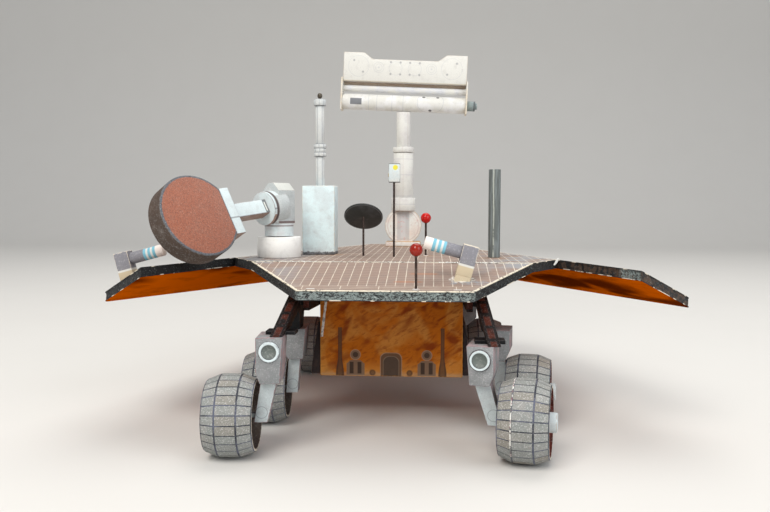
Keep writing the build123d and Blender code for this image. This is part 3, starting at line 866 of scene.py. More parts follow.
def foam_edge(name, wear, ground=None, bare=None):
    """Black marker on cut foam, rubbed off in places.

    A bare stretch (axis, from, to) is rubbed off all along.
    """
    edge = Finish(name, ground or hue("marker"), 0.6)
    if ground:
        edge.lay(edge.patch(2.2, 0.44, 0.6), hue("marker"))
    upright = edge.stretched(1.0, 0.7, 0.6)
    rubbed = edge.step(edge.noise(1.0, 5.0, 0.7, where=upright), 0.62 - wear * 0.16, 0.7 - wear * 0.1)
    white = edge.step(edge.noise(0.8, 3.0, where=upright), 0.62, 0.74)
    if bare:
        axis, start, end = bare
        here = edge.band(edge.xyz(edge.where)[axis], start, end, 0.5)
        scuffs = edge.step(edge.noise(1.0, 5.0, 0.7, where=upright), 0.4, 0.54)
        rubbed = edge.most(rubbed * 0.5, here * scuffs)
        white = white * edge.step(here, 0.0, 1.0, 0.25, 1.0)
    edge.lay(rubbed * 0.85, hue("scuffed"))
    edge.lay(white * (0.3 + wear * 0.6), (0.68, 0.72, 0.7, 1))
    edge.lay(edge.step(edge.noise(0.9, 3.0, 0.6, where=upright), 0.54, 0.62) * 0.75, (0.012, 0.012, 0.014, 1))
    edge.rise(edge.noise(0.5, 4.0, 0.8), 0.25)
    return edge.close()


def crumbs(name, start, end, count, finish, seed):
    """Crumbs of foam along the cut edge of a board."""
    data = grown(TREES["flakes"], name, {
        "Start": start, "End": end, "Spread": (0.00012, 0.00012, BOARD * 0.34 * MM), "Count": count,
        "Size": sizes().crumb, "Flatness": 0.8, "Seed": seed, "Material": finish,
    })
    piece_from(data, name, "chassis")


def deck_print():
    """Solar cells, cross lines, torn paper along the fold and golden stains."""
    deck, _ = solar_finish("deck_print", (1.2, 121.0))
    deck.lay(deck.lines(deck.v, 15.3, 0.55) * 0.6, hue("cream"))
    deck.lay(deck.band(deck.v, -1.0, 0.6) * deck.step(deck.noise(1.0), 0.28, 0.42), hue("white"))
    for u, v, radius in ((-29.0, 40.0, 7.0), (12.5, 34.0, 2.5), (38.0, 26.0, 4.0), (0.0, 106.0, 12.0)):
        deck.lay(deck.spot(u, v, radius, 2.4) * deck.patch(2.0, 0.4, 0.6) * 0.35, hue("foil_pale"))
    return deck.fibres().close()


def panel_print():
    """Solar cells, the lines and blocks along the near edge, stains and the worn places by the pins."""
    panel, faded = solar_finish("rear_panel_print", (-29.6, -1.0))
    near_edge = panel.band(panel.v, -33.2, -29.6, 0.2)
    panel.lay(panel.lines(panel.u + 2.0, 12.24, 0.24, 0.14) * near_edge * 0.6, hue("cell_ink"))
    for row, share in ((-29.6, 0.7), (-31.1, 0.6), (-32.6, 0.5)):
        panel.lay(panel.band(panel.v, row - 0.12, row + 0.12, 0.1) * faded * share, hue("cream"))
    panel.lay(panel.band(panel.v, -0.4, 1.0) * panel.step(panel.noise(1.0), 0.3, 0.45), hue("white"))
    panel.lay(panel.band(panel.v, -33.6, -33.3, 0.1) * 0.55, (0.12, 0.09, 0.08, 1))
    for u in (-23.6, 22.9):
        panel.lay(panel.square((u - 1.3, u + 1.3), (-33.1, -32.5)), hue("white"))
    for u, v in ((7.0, -24.5), (12.0, -15.0)):
        panel.lay(panel.square((u - 4.5, u + 4.5), (v - 0.7, v + 0.7), 0.9) * 0.45, hue("foil"))
    panel.lay(panel.spot(9.8, -32.8, 1.15, 0.2) * panel.step(panel.noise(0.6), 0.35, 0.5), hue("white"))
    panel.lay(panel.circle(24.6, -21.3, 3.6, 1.3, 0.5) * panel.patch(1.0, 0.45, 0.6), hue("white"))
    panel.lay(panel.square((20.5, 34.0), (-27.0, -23.0), 1.6) * panel.patch(1.6, 0.4, 0.6) * 0.8,
              hue("solar_cool"))
    return panel.fibres().close()


def board_papers():
    """The cut paper of a board's border, and its skins, inked all over or bared in places."""
    rim = grained("cut_paper", hue("cream"), rough=0.85)
    rim.blotch(hue("marker"), 0.8, 1.1, 0.54, 0.62, detail=4.0)
    rim = rim.close()
    inked, bared = (Finish(label, hue("marker"), 0.7) for label in ("inked_paper", "bared_paper"))
    for skin, start in ((inked, 0.56), (bared, 0.47)):
        skin.lay(skin.step(skin.noise(4.5, 4.0), start, start + 0.05) * 0.9, hue("cream"))
        skin.fibres().close()
    return rim, inked.material, bared.material


class ROVER_OT_deck(RoverOperator, bpy.types.Operator):
    """Boards of the deck, the rear panel and the wings, with their prints and rough edges"""

    bl_idname = "rover.deck"
    bl_label = "Deck boards"

    def execute(self, context):
        wing, _ = solar_finish("wing_print", (-60.0, 130.0))
        wing = wing.fibres().close()
        golden, crease = hue("wing_foil"), hue("wing_crease")
        under = foil("wing_foil_print", (golden, crease, golden), 1.1,
                     deep=60.0, wide=17.0, slant=0.0, fine=0.25).close(Specular_IOR_Level=0.0)
        belly = foil("board_underside_print", box_foil(), 0.8).close()
        rim, inked, bared = board_papers()
        black = foam_edge("marked_foam_edge", 0.1)
        worn = foam_edge("worn_foam_edge", 0.6, bare=(1, -90.0, -75.6))
        browned = foam_edge("browned_foam_edge", 0.25, (0.075, 0.042, 0.025, 1), (0, 76.6, 80.8))
        rough_board("deck", "deck_board", [deck_print(), belly, black, rim, inked, inked])
        rough_board("rear_panel", "rear_panel_board", [panel_print(), belly, worn, rim, rim, inked])
        rough_board("left_wing", "left_wing_board", [wing, under, black, rim, inked, inked])
        rough_board("right_wing", "right_wing_board", [wing, under, browned, rim, inked, bared])
        return {"FINISHED"}


def corner_curl(paper):
    """A torn strip of the deck's paper that curls up at the right-hand corner."""
    curl, rows, out = bmesh.new(), [], Vector((0.06, -0.04, 0))
    for x, ahead, z, wide in ((59.7, 14.9, 57.2, 0.2), (60.3, 15.5, 57.7, 0.4), (60.9, 16.3, 58.4, 0.5),
                              (61.5, 17.2, 59.1, 0.4), (61.9, 18.0, 59.5, 0.2)):
        middle, tall = Vector((x, FOLD_Y + ahead, z)), Vector((-0.4, 0, 0.9)) * wide
        rows.append([middle - tall - out, middle + tall - out, middle + tall + out, middle - tall + out])
    ribbon(curl, rows)
    put("corner_paper_curl", curl, [paper], "chassis", "foam_board", curved=60.0)


class ROVER_OT_torn_paper(RoverOperator, bpy.types.Operator):
    """Torn paper along the fold of the deck, and crumbs on the near edges of the boards"""

    bl_idname = "rover.torn_paper"
    bl_label = "Torn paper"

    def execute(self, context):
        paper = grained("torn_paper", hue("white"), rough=0.9).close()
        # name, from x, to x, spread across the fold, share of the flakes, seed
        for name, left, right, spread, share, seed in (
            ("fold_flakes", -49.0, 49.0, 0.35, 1.0, 5),
            ("fold_tear_right", 20.0, 38.0, 1.5, 0.5, 11),
            ("fold_tear_left", -40.0, -27.0, 1.0, 0.3, 17),
        ):
            data = grown(TREES["flakes"], name, {
                "Start": (left * MM, FOLD_Y * MM, (DECK_TOP + 0.02) * MM),
                "End": (right * MM, FOLD_Y * MM, (DECK_TOP + 0.02) * MM),
                "Spread": (0.0006, spread * MM, 0.00003), "Count": int(sizes().flakes * share),
                "Size": sizes().flake, "Flatness": 0.22, "Seed": seed, "Material": paper,
            })
            piece_from(data, name, "chassis")
        corner_curl(paper)
        marker, scuff = foam_edge("crumb_marker", 0.1), foam_edge("crumb_scuffed", 0.9)
        edge_y = FOLD_Y - PANEL_LONG * math.cos(PANEL_DROOP)
        low = DECK_TOP - PANEL_LONG * math.sin(PANEL_DROOP) - BOARD / 2
        start, end = Vector((-27.6, edge_y + 0.32, low)) * MM, Vector((27.6, edge_y + 0.32, low)) * MM
        crumbs("near_edge_crumbs", start, end, 190, scuff, 23)
        crumbs("near_edge_dark_crumbs", start, end, 190, marker, 29)
        for side, hand in (("left", -1), ("right", 1)):
            corner = Vector((hand * 49.9, FOLD_Y - 0.4, DECK_TOP - BOARD / 2)) * MM
            tip = Vector((hand * 27.7, edge_y + 0.5, low)) * MM
            crumbs(f"{side}_slant_crumbs", corner, tip, 150, marker, 31 + hand)
        return {"FINISHED"}


def box_fittings(rear):
    """The hardware printed along the foot of the box's rear face."""
    fill, ink, pale = hue("motif"), (0.045, 0.03, 0.024, 1), (0.34, 0.25, 0.18, 1)
    for side in (-1, 1):
        # Tapered post
        half = rear.step(rear.v, 1.0, 7.5, 1.45, 0.66)
        from_post = abs(rear.u - side * 18.65)
        shape = rear.fall(from_post - half, -0.1, 0.12) * rear.band(rear.v, -1.0, 17.9)
        rear.lay(shape * 0.85, fill)
        rear.lay(shape * rear.step(from_post - half * 0.4, 0.0, 0.3) * 0.45, ink)
        # Round-headed bracket with two windows
        from_bracket = abs(rear.u - side * 12.95)
        shoulder = rear.step(from_bracket, 1.6, 3.3, 5.9, 4.7)
        shape = rear.fall(from_bracket, 3.2, 3.4) * rear.fall(rear.v - shoulder, -0.1, 0.12)
        rear.lay(rear.most(shape, rear.spot(side * 13.0, 7.9, 1.95)) * 0.8, pale)
        body = shape * rear.step(rear.v, 0.3, 0.6)
        rear.lay(rear.most(body, rear.spot(side * 13.0, 7.9, 1.7)) * 0.55, fill)
        rear.lay(rear.spot(side * 13.0, 7.9, 1.0) * 0.8, ink)
        for window in (-1.45, 1.45):
            centre = side * 12.95 + window
            rear.lay(rear.square((centre - 0.72, centre + 0.72), (0.95, 5.2)) * 0.88, ink)
        # Small round port
        rear.lay(rear.spot(side * 6.75, 1.35, 1.15) * 0.75, fill)
        rear.lay(rear.circle(side * 6.75, 1.35, 0.75, 0.25) * 0.5, ink)
    # Arched hatch and its frame: half width, crown, colour and share of each layer
    corner = 2.2
    for half_wide, crown, colour, share in (
        (4.0, 8.8, pale, 0.7), (3.75, 8.55, fill, 0.85), (2.95, 7.5, pale, 0.5), (2.75, 7.3, ink, 0.75),
    ):
        across = rear.most(abs(rear.u) - (half_wide - corner), 0.0)
        above = rear.most(rear.v - (crown - corner), 0.0)
        rear.lay(rear.fall(rear.far(across, above), corner - 0.1, corner + 0.1) * share, colour)


def paper_strip():
    """The slanting strip of paper on the rear face of the box."""
    y = FOLD_Y + 2.94
    top, foot = Vector((-23.4, y, 47.0)), Vector((-25.3, y, 31.4))
    strip, rows, steps = bmesh.new(), [], 14
    for i in range(steps + 1):
        middle = top.lerp(foot, i / steps) + Vector((0.12 * noise.noise(Vector((i * 0.7, 0, 0))), 0, 0))
        half = 0.42 + 0.1 * noise.noise(Vector((i * 0.9, 3, 0)))
        rows.append([middle + Vector((dx, dy, 0)) for dx, dy in
                     ((-half, 0.05), (-half, -0.16), (half, -0.16), (half, 0.05))])
    ribbon(strip, rows)
    lay_flat(strip, [(0, None, (0, FOLD_Y, 0), (1, 0, 0), UP)])
    paper = grained("strip_paper", hue("white"), rough=0.85)
    paper.blotch((0.2, 0.2, 0.2, 1), 0.7, 1.2, 0.56, 0.6)
    put("box_paper_strip", strip, [paper.close()], "chassis", "foil_card")


class ROVER_OT_box(RoverOperator, bpy.types.Operator):
    """Body box in crumpled-foil print, with the printed fittings on its rear face"""

    bl_idname = "rover.box"
    bl_label = "Body box"

    def execute(self, context):
        rear = foil("box_rear_print", box_foil())
        rear.lay(rear.step(rear.v, 0.0, 7.0, 0.6, 0.0) * rear.patch(6.0, 0.3, 0.55), hue("foil_pale"))
        rear.lay(rear.step(rear.v + rear.noise(2.0) * 2.0, 1.6, 3.0, 0.5, 0.0), (0.44, 0.30, 0.17, 1))
        box_fittings(rear)
        rear.folds(hue("foil_pale"))
        side = foil("box_side_print", box_foil()).folds(hue("foil_pale"))
        side.lay(side.lines(side.u, 22.0, 0.35) * 0.4, hue("foil_dark"))
        finishes = [card.close(Specular_IOR_Level=0.05) for card in (side, rear)]
        folded("body_box", "body_box_card", finishes, [
            (1, (0, -1, 0), (0, FOLD_Y, 17.0), (1, 0, 0), UP), ANY_SIDE,
        ], width=0.3)
        paper_strip()
        return {"FINISHED"}


def wheel_place(axle, side, hand, y, track, toe):
    """A wheel's node, its centre, and the turn from its own frame: out along the axle, back and up."""
    out = Vector((hand * math.cos(math.radians(toe)), -math.sin(math.radians(toe)), 0))
    turn = Matrix((out, out.cross(UP).normalized(), UP)).transposed()
    return f"{axle}_{side}_wheel", Vector((hand * track, y, WHEEL_RADIUS)), turn


def wheel_barrel(node, centre, turn, finishes):
    """The inked barrel under a wheel's facets, with its web and hub.

    Gives the angle of the first line between two facets.
    """
    near_hub, hub_radius, web_depth, rim_depth = 4.0, 3.6, 2.2, 0.3
    half = MIDDLE_BAND / 2 + SIDE_BAND
    to_wheel = turn.transposed()
    mesh = clean_copy(node)
    flat = mesh.loops.layers.uv.new("flat")
    fold = mesh.faces.layers.float.new("fold")
    mesh.normal_update()
    phase = 0.0
    for vert in mesh.verts:
        away = to_wheel @ (vert.co - centre)
        if abs(abs(away.x) - MIDDLE_BAND / 2) < 0.05 and away.yz.length > WHEEL_RADIUS * 0.99:
            phase = math.atan2(-away.y, away.z) % (math.tau / FACETS)
            break
    sharp = [
        e for e in mesh.edges if len(e.link_faces) == 2 and e.calc_face_angle(0.0) > math.radians(40)
        and all((to_wheel @ (v.co - centre)).yz.length < near_hub for v in e.verts)
    ]
    made = bmesh.ops.bevel(
        mesh, geom=sharp, offset=0.35, offset_type="OFFSET", segments=3, profile=0.5,
        affect="EDGES", clamp_overlap=True,
    )
    for face in made["faces"]:
        face[fold] = 1.0
    mesh.normal_update()
    outer = set()
    for face in mesh.faces:
        away = to_wheel @ (face.calc_center_median() - centre)
        normal = to_wheel @ face.normal
        corners = [to_wheel @ (loop.vert.co - centre) for loop in face.loops]
        if max(corner.yz.length for corner in corners) < hub_radius:
            face.material_index = 4
        elif abs(normal.x) > 0.8:
            face.material_index = 1 if abs(away.x) > half - rim_depth else (3 if normal.x > 0 else 2)
        elif normal.dot(Vector((0, away.y, away.z)).normalized()) > 0.2:
            face.material_index = 0
            outer.update(face.verts)
        else:
            face.material_index = 3 if away.x > half - web_depth else 2
        for loop, corner in zip(face.loops, corners):
            loop[flat].uv = corner.yz
    for vert in outer:
        away = to_wheel @ (vert.co - centre)
        shrink = 1 - sizes().card / MM / away.yz.length
        vert.co = centre + turn @ Vector((away.x, away.y * shrink, away.z * shrink))
    dress(node, f"{node}_barrel", mesh, finishes, curved=11.0)
    return phase


def open_seam(node, centre, turn, phase, finish):
    """Bare paper where the inner band of a wheel was glued a little open."""
    strip, rows = bmesh.new(), []
    for step in range(11):
        angle = phase - math.tau * step / FACETS
        corners = []
        for along, level in ((-0.3, -0.12), (-0.22, 0.0), (0.1, 0.0), (0.16, -0.12)):
            radius = (WHEEL_RADIUS - 0.015 + level) / math.cos(math.pi / FACETS)
            across, up = -radius * math.sin(angle), radius * math.cos(angle)
            corners.append(centre + turn @ Vector((along - MIDDLE_BAND / 2, across, up)))
        rows.append(corners)
    ribbon(strip, rows)
    put(f"{node}_seam", strip, [finish], body_of(node), "wheel_card", curved=5.0)


def wheel_finishes():
    """The facets' card, the five finishes of the barrel under them, and the paper of an open seam."""
    facet = Finish("wheel_facets", hue("wheel"), 0.82)
    shade = Num(facet, facet.node("ShaderNodeAttribute", {"attribute_name": "shade"}).outputs["Fac"])
    facet.lay(facet.step(shade, 0.35, 1.0, 0.0, 0.3), (0.30, 0.30, 0.29, 1))
    facet.lay(facet.step(shade, 0.0, 0.5, 0.4, 0.0), hue("wheel_warm"))
    facet.blotch((0.40, 0.36, 0.33, 1), 0.3, 4.0, 0.45, 0.7)
    facet.speckle(0.34, 0.26)
    facet.blotch(hue("fold_tint"), 0.4, 0.7, 0.66, 0.72, detail=4.0)
    facet = facet.fibres(0.05).close()
    ink = grained("wheel_score_ink", hue("wheel_ink"), rough=0.7, spread=(0.10, 0.11, 0.16, 1)).close()
    rim = grained("wheel_rim_paper", hue("cream"), rough=0.85)
    rim.blotch(hue("wheel_ink"), 0.8, 0.9, 0.45, 0.6)
    rim = rim.close()
    well = grained("wheel_well_print", hue("wheel_well"), rough=0.8, speckle=0.25)
    well.blotch((0.05, 0.025, 0.02, 1), 0.6, 2.2, 0.42, 0.6, bent=1.0)
    well = well.close()
    # Painted shade: the inside of the open barrel is dark brown for the shade in the hollow wheel
    inner = grained("wheel_inner_card", (0.12, 0.085, 0.07, 1), rough=0.85, spread=(0.2, 0.16, 0.13, 1))
    inner = inner.close()
    hub = grained("wheel_hub_card", hue("cool_white"), (0.45, 0.42, 0.38, 1), rough=0.75).close()
    seam = grained("wheel_seam_paper", hue("white"), rough=0.85)
    seam.blotch(hue("wheel_ink"), 0.8, 1.8, 0.50, 0.53)
    seam.blotch(hue("fold_tint"), 0.7, 0.7, 0.54, 0.6, detail=4.0)
    seam = seam.close()
    return facet, [ink, rim, inner, well, hub], seam


class ROVER_OT_wheels(RoverOperator, bpy.types.Operator):
    """Six wheels: scored card facets over an inked barrel, with a printed well and a white hub"""

    bl_idname = "rover.wheels"
    bl_label = "Wheels"

    def execute(self, context):
        facet, finishes, seam = wheel_finishes()
        for number, wheel in enumerate(WHEELS):
            node, centre, turn = wheel_place(*wheel)
            phase = wheel_barrel(node, centre, turn, finishes)
            data = grown(TREES["wheel"], f"{node}_facets", {
                "Radius": WHEEL_RADIUS * MM, "Rim Radius": RIM_RADIUS * MM, "Middle Band": MIDDLE_BAND * MM,
                "Side Band": SIDE_BAND * MM, "Facets": FACETS, "Facet Seam": sizes().facet_seam,
                "Band Seam": sizes().band_seam, "Card": sizes().card * 1.15, "Seed": 10 * number + 3,
                "Material": facet,
            })
            spin = Matrix.Rotation(phase + math.pi / FACETS, 4, "X")
            data.transform(Matrix.Translation(centre * MM) @ turn.to_4x4() @ spin)
            piece_from(data, f"{node}_facets", body_of(node))
            if node == "rear_right_wheel":
                open_seam(node, centre, turn, phase, seam)
        return {"FINISHED"}


# Flat coordinates that are clear of every print
FAR_OFF = (9.0, 9.0)


def dress_boss(mesh, boss_place, origin, facing, out):
    """The round boss of a housing: a white ring round a sunk grey centre, and its place on the housing."""
    housing_face, ring_wide, gap_wide, sunk = 5.02, 0.62, 0.1, 0.34
    boss = max(
        (f for f in mesh.faces if f.normal.dot(facing) > 0.99),
        key=lambda f: (f.calc_center_median() - origin).dot(facing),
    )
    centre = boss.calc_center_median()
    radius = max((v.co - centre).length for v in boss.verts)
    for f in mesh.faces:
        if max((v.co - origin).dot(facing) for v in f.verts) > housing_face:
            f.material_index = 2
        elif f.normal.dot(facing) > 0.7:
            for loop in f.loops:
                away = (loop.vert.co - centre) / radius
                loop[boss_place].uv = (away.dot(out), away.z)
    bmesh.ops.inset_region(mesh, faces=[boss], thickness=ring_wide, use_even_offset=True)
    edge = bmesh.ops.inset_region(mesh, faces=[boss], thickness=gap_wide, depth=-sunk, use_even_offset=True)
    for f in edge["faces"]:
        f.material_index = 4
    boss.material_index = 3


def leg_finishes():
    """Front and side print, and the boss's ring, centre and gap, the gap near-black as painted shade."""
    face = Finish("leg_front_print", hue("bracket"), 0.8)
    upper = face.step(face.v, 23.9, 24.1)
    face.lay(upper, hue("housing"))
    face.blotch((0.4, 0.39, 0.4, 1), 0.3, 3.0, 0.42, 0.66)
    face.lay(upper * face.step(face.noise(0.42, 3.0), 0.54, 0.66) * 0.35, (0.24, 0.21, 0.24, 1))
    face.lay(face.band(face.v, 23.75, 24.1, 0.08) * 0.8, (0.12, 0.13, 0.16, 1))
    face.lay(face.circle(9.6, 14.4, 1.85, 0.16) * 0.75, (0.16, 0.18, 0.22, 1))
    # Painted shade: a dark ring round the foot of the boss on the housing face
    boss_u, boss_v, _ = face.xyz(face.node("ShaderNodeUVMap", {"uv_map": "boss"}).outputs[0])
    outline = face.far(boss_u, boss_v) + (face.noise(0.8) - 0.5) * 0.12
    face.lay(face.fall(outline, 1.11, 1.17) * 0.85, (0.035, 0.03, 0.035, 1))
    face.speckle(0.16, 0.3)
    face.folds(hue("fold_tint"), 0.95)
    face = face.fibres().close()
    flank = grained("leg_side_print", hue("housing"), hue("fold_tint"), spread=(0.36, 0.27, 0.28, 1))
    flank.blotch((0.3, 0.12, 0.12, 1), 0.5, 1.4, 0.56, 0.64, detail=4.0)
    flank = flank.close()
    ring = grained("boss_ring_card", hue("cool_white"), (0.34, 0.35, 0.37, 1), speckle=0.05).close()
    centre_print = grained("boss_centre_print", hue("hub_grey"), speckle=0.12, rough=0.7).close()
    # Painted shade: the walls of the sunk gap inside the ring are near-black
    gap = grained("boss_gap_ink", (0.05, 0.05, 0.06, 1)).close()
    return [face, flank, ring, centre_print, gap]


class ROVER_OT_legs(RoverOperator, bpy.types.Operator):
    """Six legs: pale brackets under speckled housings, with a white ring round a grey boss"""

    bl_idname = "rover.legs"
    bl_label = "Legs"

    def execute(self, context):
        finishes = leg_finishes()
        for axle, side, hand, y, track, toe in WHEELS:
            node = f"{axle}_{side}_leg"
            sine, cosine = math.sin(math.radians(toe)), math.cos(math.radians(toe))
            out, forward = Vector((hand * cosine, -sine, 0)), Vector((hand * sine, cosine, 0))
            origin = Vector((hand * track, y, 0))
            mesh = clean_copy(node)
            round_folds(mesh, sizes().fold / MM)
            lay_flat(mesh, [(0, forward, origin, -out, UP), (0, -forward, origin, -out, UP),
                            (1, None, origin, None, None)])
            boss_place = mesh.loops.layers.uv.new("boss")
            for f in mesh.faces:
                for loop in f.loops:
                    loop[boss_place].uv = FAR_OFF
            if axle != "middle":
                dress_boss(mesh, boss_place, origin, forward if axle == "front" else -forward, out)
            dress(node, f"{node}_card", mesh, finishes)
        return {"FINISHED"}


def suspension_finishes():
    """The arms' print, the card of their caps, and the side panels' print."""
    arm = Finish("arm_print", hue("arm"), 0.55)
    rows = arm.lines(arm.v, 3.3, 2.5, 0.3)
    block = rows * arm.band(arm.u, -0.95, 0.95, 0.12)
    arm.lay(block * arm.patch(4.0, 0.3, 0.5), hue("arm_block"))
    arm.lay(rows * arm.fall(abs(abs(arm.u) - 1.0), 0.05, 0.16) * 0.3, (0.12, 0.07, 0.065, 1))
    arm.folds((0.06, 0.035, 0.03, 1), 0.5)
    arm.speckle(0.05, 0.3)
    arm = arm.fibres().close(Specular_IOR_Level=0.15)
    cap = Finish("arm_cap_card", (0.008, 0.008, 0.009, 1), 0.6)
    cap.folds((0.06, 0.055, 0.055, 1))
    cap = cap.fibres().close(Specular_IOR_Level=0.15)
    panel = Finish("side_panel_print", (0.03, 0.022, 0.022, 1), 0.6)
    panel.lay(panel.lines(panel.u, 8.0, 0.5) * 0.5, hue("arm_block"))
    panel.blotch((0.1, 0.06, 0.05, 1), 0.4, 3.0, 0.5, 0.7)
    panel.folds((0.25, 0.2, 0.18, 1), 0.5)
    panel = panel.fibres().close(Specular_IOR_Level=0.15)
    return arm, cap, panel


class ROVER_OT_suspension(RoverOperator, bpy.types.Operator):
    """Rockers, bogies and side panels in near-black print with brick-red blocks"""

    bl_idname = "rover.suspension"
    bl_label = "Suspension"

    def execute(self, context):
        arm, cap, panel = suspension_finishes()
        for side in ("left", "right"):
            # The blocks run in one column down the middle of the narrow faces, however they slant
            for node, middle, splay in ((f"{side}_bogie", 30.6, 14.0), (f"{side}_rocker", 27.3, 0.0)):
                mesh = clean_copy(node)
                round_folds(mesh, 0.18)
                lay_flat(mesh, [ANY_SIDE])
                flat = mesh.loops.layers.uv["flat"]
                for f in mesh.faces:
                    if f.calc_center_median().z < 40.0 and node.endswith("bogie"):
                        f.material_index = 1
                    for loop in f.loops:
                        place = loop.vert.co
                        across = abs(place.x) - middle - (50.0 - place.z) * math.tan(math.radians(splay))
                        loop[flat].uv = (across if abs(f.normal.x) < 0.7 else FAR_OFF[0], place.z)
                dress(node, f"{node}_card", mesh, [arm, cap])
            folded(f"{side}_side_panel", f"{side}_side_panel_card", [panel])
        return {"FINISHED"}


class ROVER_OT_mast(RoverOperator, bpy.types.Operator):
    """Mast: foot disc with a printed panel, collar and rolled tubes"""

    bl_idname = "rover.mast"
    bl_label = "Mast"

    def execute(self, context):
        foot = grained("mast_foot_print", hue("white"), (0.5, 0.42, 0.34, 1), spread=(0.7, 0.62, 0.56, 1))
        foot.lay(foot.square((-3.0, 3.0), (-7.0, 7.0), 0.25) * 0.55, (0.36, 0.36, 0.38, 1))
        foot.lay(foot.square((-1.2, 1.2), (-6.0, 6.0), 0.2) * 0.5, (0.62, 0.6, 0.6, 1))
        foot.lay(foot.circle(0, 0, 7.6, 0.4) * 0.45, (0.5, 0.36, 0.34, 1))
        foot.blotch((0.6, 0.3, 0.27, 1), 0.5, 1.3, 0.6, 0.68)
        plate = grained("mast_plate_card", hue("foil_pale"), hue("cream"), spread=(0.4, 0.3, 0.22, 1)).close()
        folded("mast_foot", "mast_foot_card", [plate, foot.close()], [
            (1, (0, -1, 0), (0, MAST_Y, DECK_TOP + 9.9), (1, 0, 0), UP),
            (1, (0, 1, 0), (0, MAST_Y, DECK_TOP + 9.9), (1, 0, 0), UP), ANY_SIDE,
        ], width=0.3, over=35.0)
        tube = grained("mast_tube_card", hue("white"), spread=(0.66, 0.64, 0.62, 1), speckle=0.08)
        tube.lay(tube.lines(tube.u, 7.6, 0.3) * 0.35, (0.5, 0.42, 0.36, 1))
        for level in (3.2, 7.2, 17.5, 25.2):
            tube.lay(tube.band(tube.v, level - 0.14, level + 0.14, 0.1) * 0.5, (0.42, 0.42, 0.45, 1))
        tube.lay(tube.square((14.0, 18.5), (11.0, 16.0), 0.2) * 0.4, (0.45, 0.45, 0.5, 1))
        tube = tube.close()
        base, overlap = DECK_TOP + 17.3, 0.07
        for node, name, stretches in (
            ("mast_lower_tube", "mast_lower_roll", [(5.9, 0.0, 6.4), (4.9, 6.4, 28.2)]),
            ("mast_upper_tube", "mast_upper_roll", [(5.15, 28.5, 31.1), (3.45, 31.1, 48.1)]),
        ):
            profile = rounded_ends([(radius - overlap, low, high) for radius, low, high in stretches])
            rolled(node, name, (0, MAST_Y, base), UP, profile, [tube], 48, seam=(overlap, 26.0))
        return {"FINISHED"}


def bar_print(line):
    """The camera bar's printed lens circles and screws, and painted shade along the face's bottom edge."""
    bar = grained("camera_bar_print", hue("white"), (0.62, 0.56, 0.48, 1), speckle=0.1)
    for side in (-1, 1):
        for u, v, radius in ((22.6, 17.0, 5.0), (12.8, 16.6, 2.5), (12.8, 16.6, 1.6), (4.65, 16.4, 3.2)):
            bar.lay(bar.circle(side * u, v, radius, 0.22) * 0.32, line)
        for u, v in ((24.9, 19.7), (20.4, 14.3), (7.0, 19.3), (2.3, 19.3), (7.0, 13.6), (2.3, 13.6)):
            bar.lay(bar.spot(side * u, v, 0.5, 0.25) * 0.6, (0.22, 0.22, 0.24, 1))
        bar.lay(bar.spot(side * 12.8, 16.6, 0.4, 0.2) * 0.45, line)
    # Painted shade: the face darkens to a greenish cream towards its bottom edge
    bar.lay(bar.step(bar.v, 9.7, 10.6, 0.6, 0.0), (0.56, 0.52, 0.40, 1))
    return bar.close()


def head_tube_print(line):
    """Rings along the tilting tube, dark windows and circles on two of its sides."""
    roll = grained("head_tube_print", hue("white"), speckle=0.08, spread=(0.8, 0.8, 0.8, 1))
    for along in (13.0, 17.0, 24.4, 29.8):
        roll.lay(roll.band(roll.v, along - 0.14, along + 0.14, 0.1) * 0.4, line)
    around = math.tau * 3.9
    for turn in (0.25, 0.75):
        near = around * turn
        roll.lay(roll.square((near - 1.6, near + 1.5), (4.0, 9.6), 0.12) * 0.9, (0.14, 0.15, 0.17, 1))
        roll.lay(roll.circle(near - 1.0, 43.0, 6.3, 0.22) * 0.5, line)
        for du, dv in ((3.6, 0.0), (-4.0, -3.3), (-4.0, 3.5)):
            roll.lay(roll.spot(near + du, 43.0 + dv, 0.75, 0.2) * 0.9, (0.05, 0.05, 0.055, 1))
    return roll.close()


def head_gap_strip():
    """A strip of card that closes the gap between the half-round bar and the camera bar, coloured tan-brown as
    painted shade.
    """
    mesh = bmesh.new()
    stand = Matrix((HEAD_X, (0, 1, 0), HEAD_UP)).transposed().to_4x4()
    place = Matrix.Translation(HEAD_ORIGIN + Vector((0, 0.8, 0)) + HEAD_UP * 8.7)
    bmesh.ops.create_cube(mesh, size=1.0, matrix=place @ stand @ Matrix.Diagonal((59.6, 0.4, 2.3, 1)))
    round_folds(mesh, 0.08)
    lay_flat(mesh, [(0, None, HEAD_ORIGIN, HEAD_X, HEAD_UP)])
    # Painted shade: the tan-brown stands for white card in the shade under the camera bar
    strip = grained("head_gap_strip_card", (0.44, 0.33, 0.25, 1), rough=0.9, spread=(0.52, 0.42, 0.33, 1))
    put("head_gap_strip", mesh, [strip.close()], "camera_head", slot_of("camera_bar"))


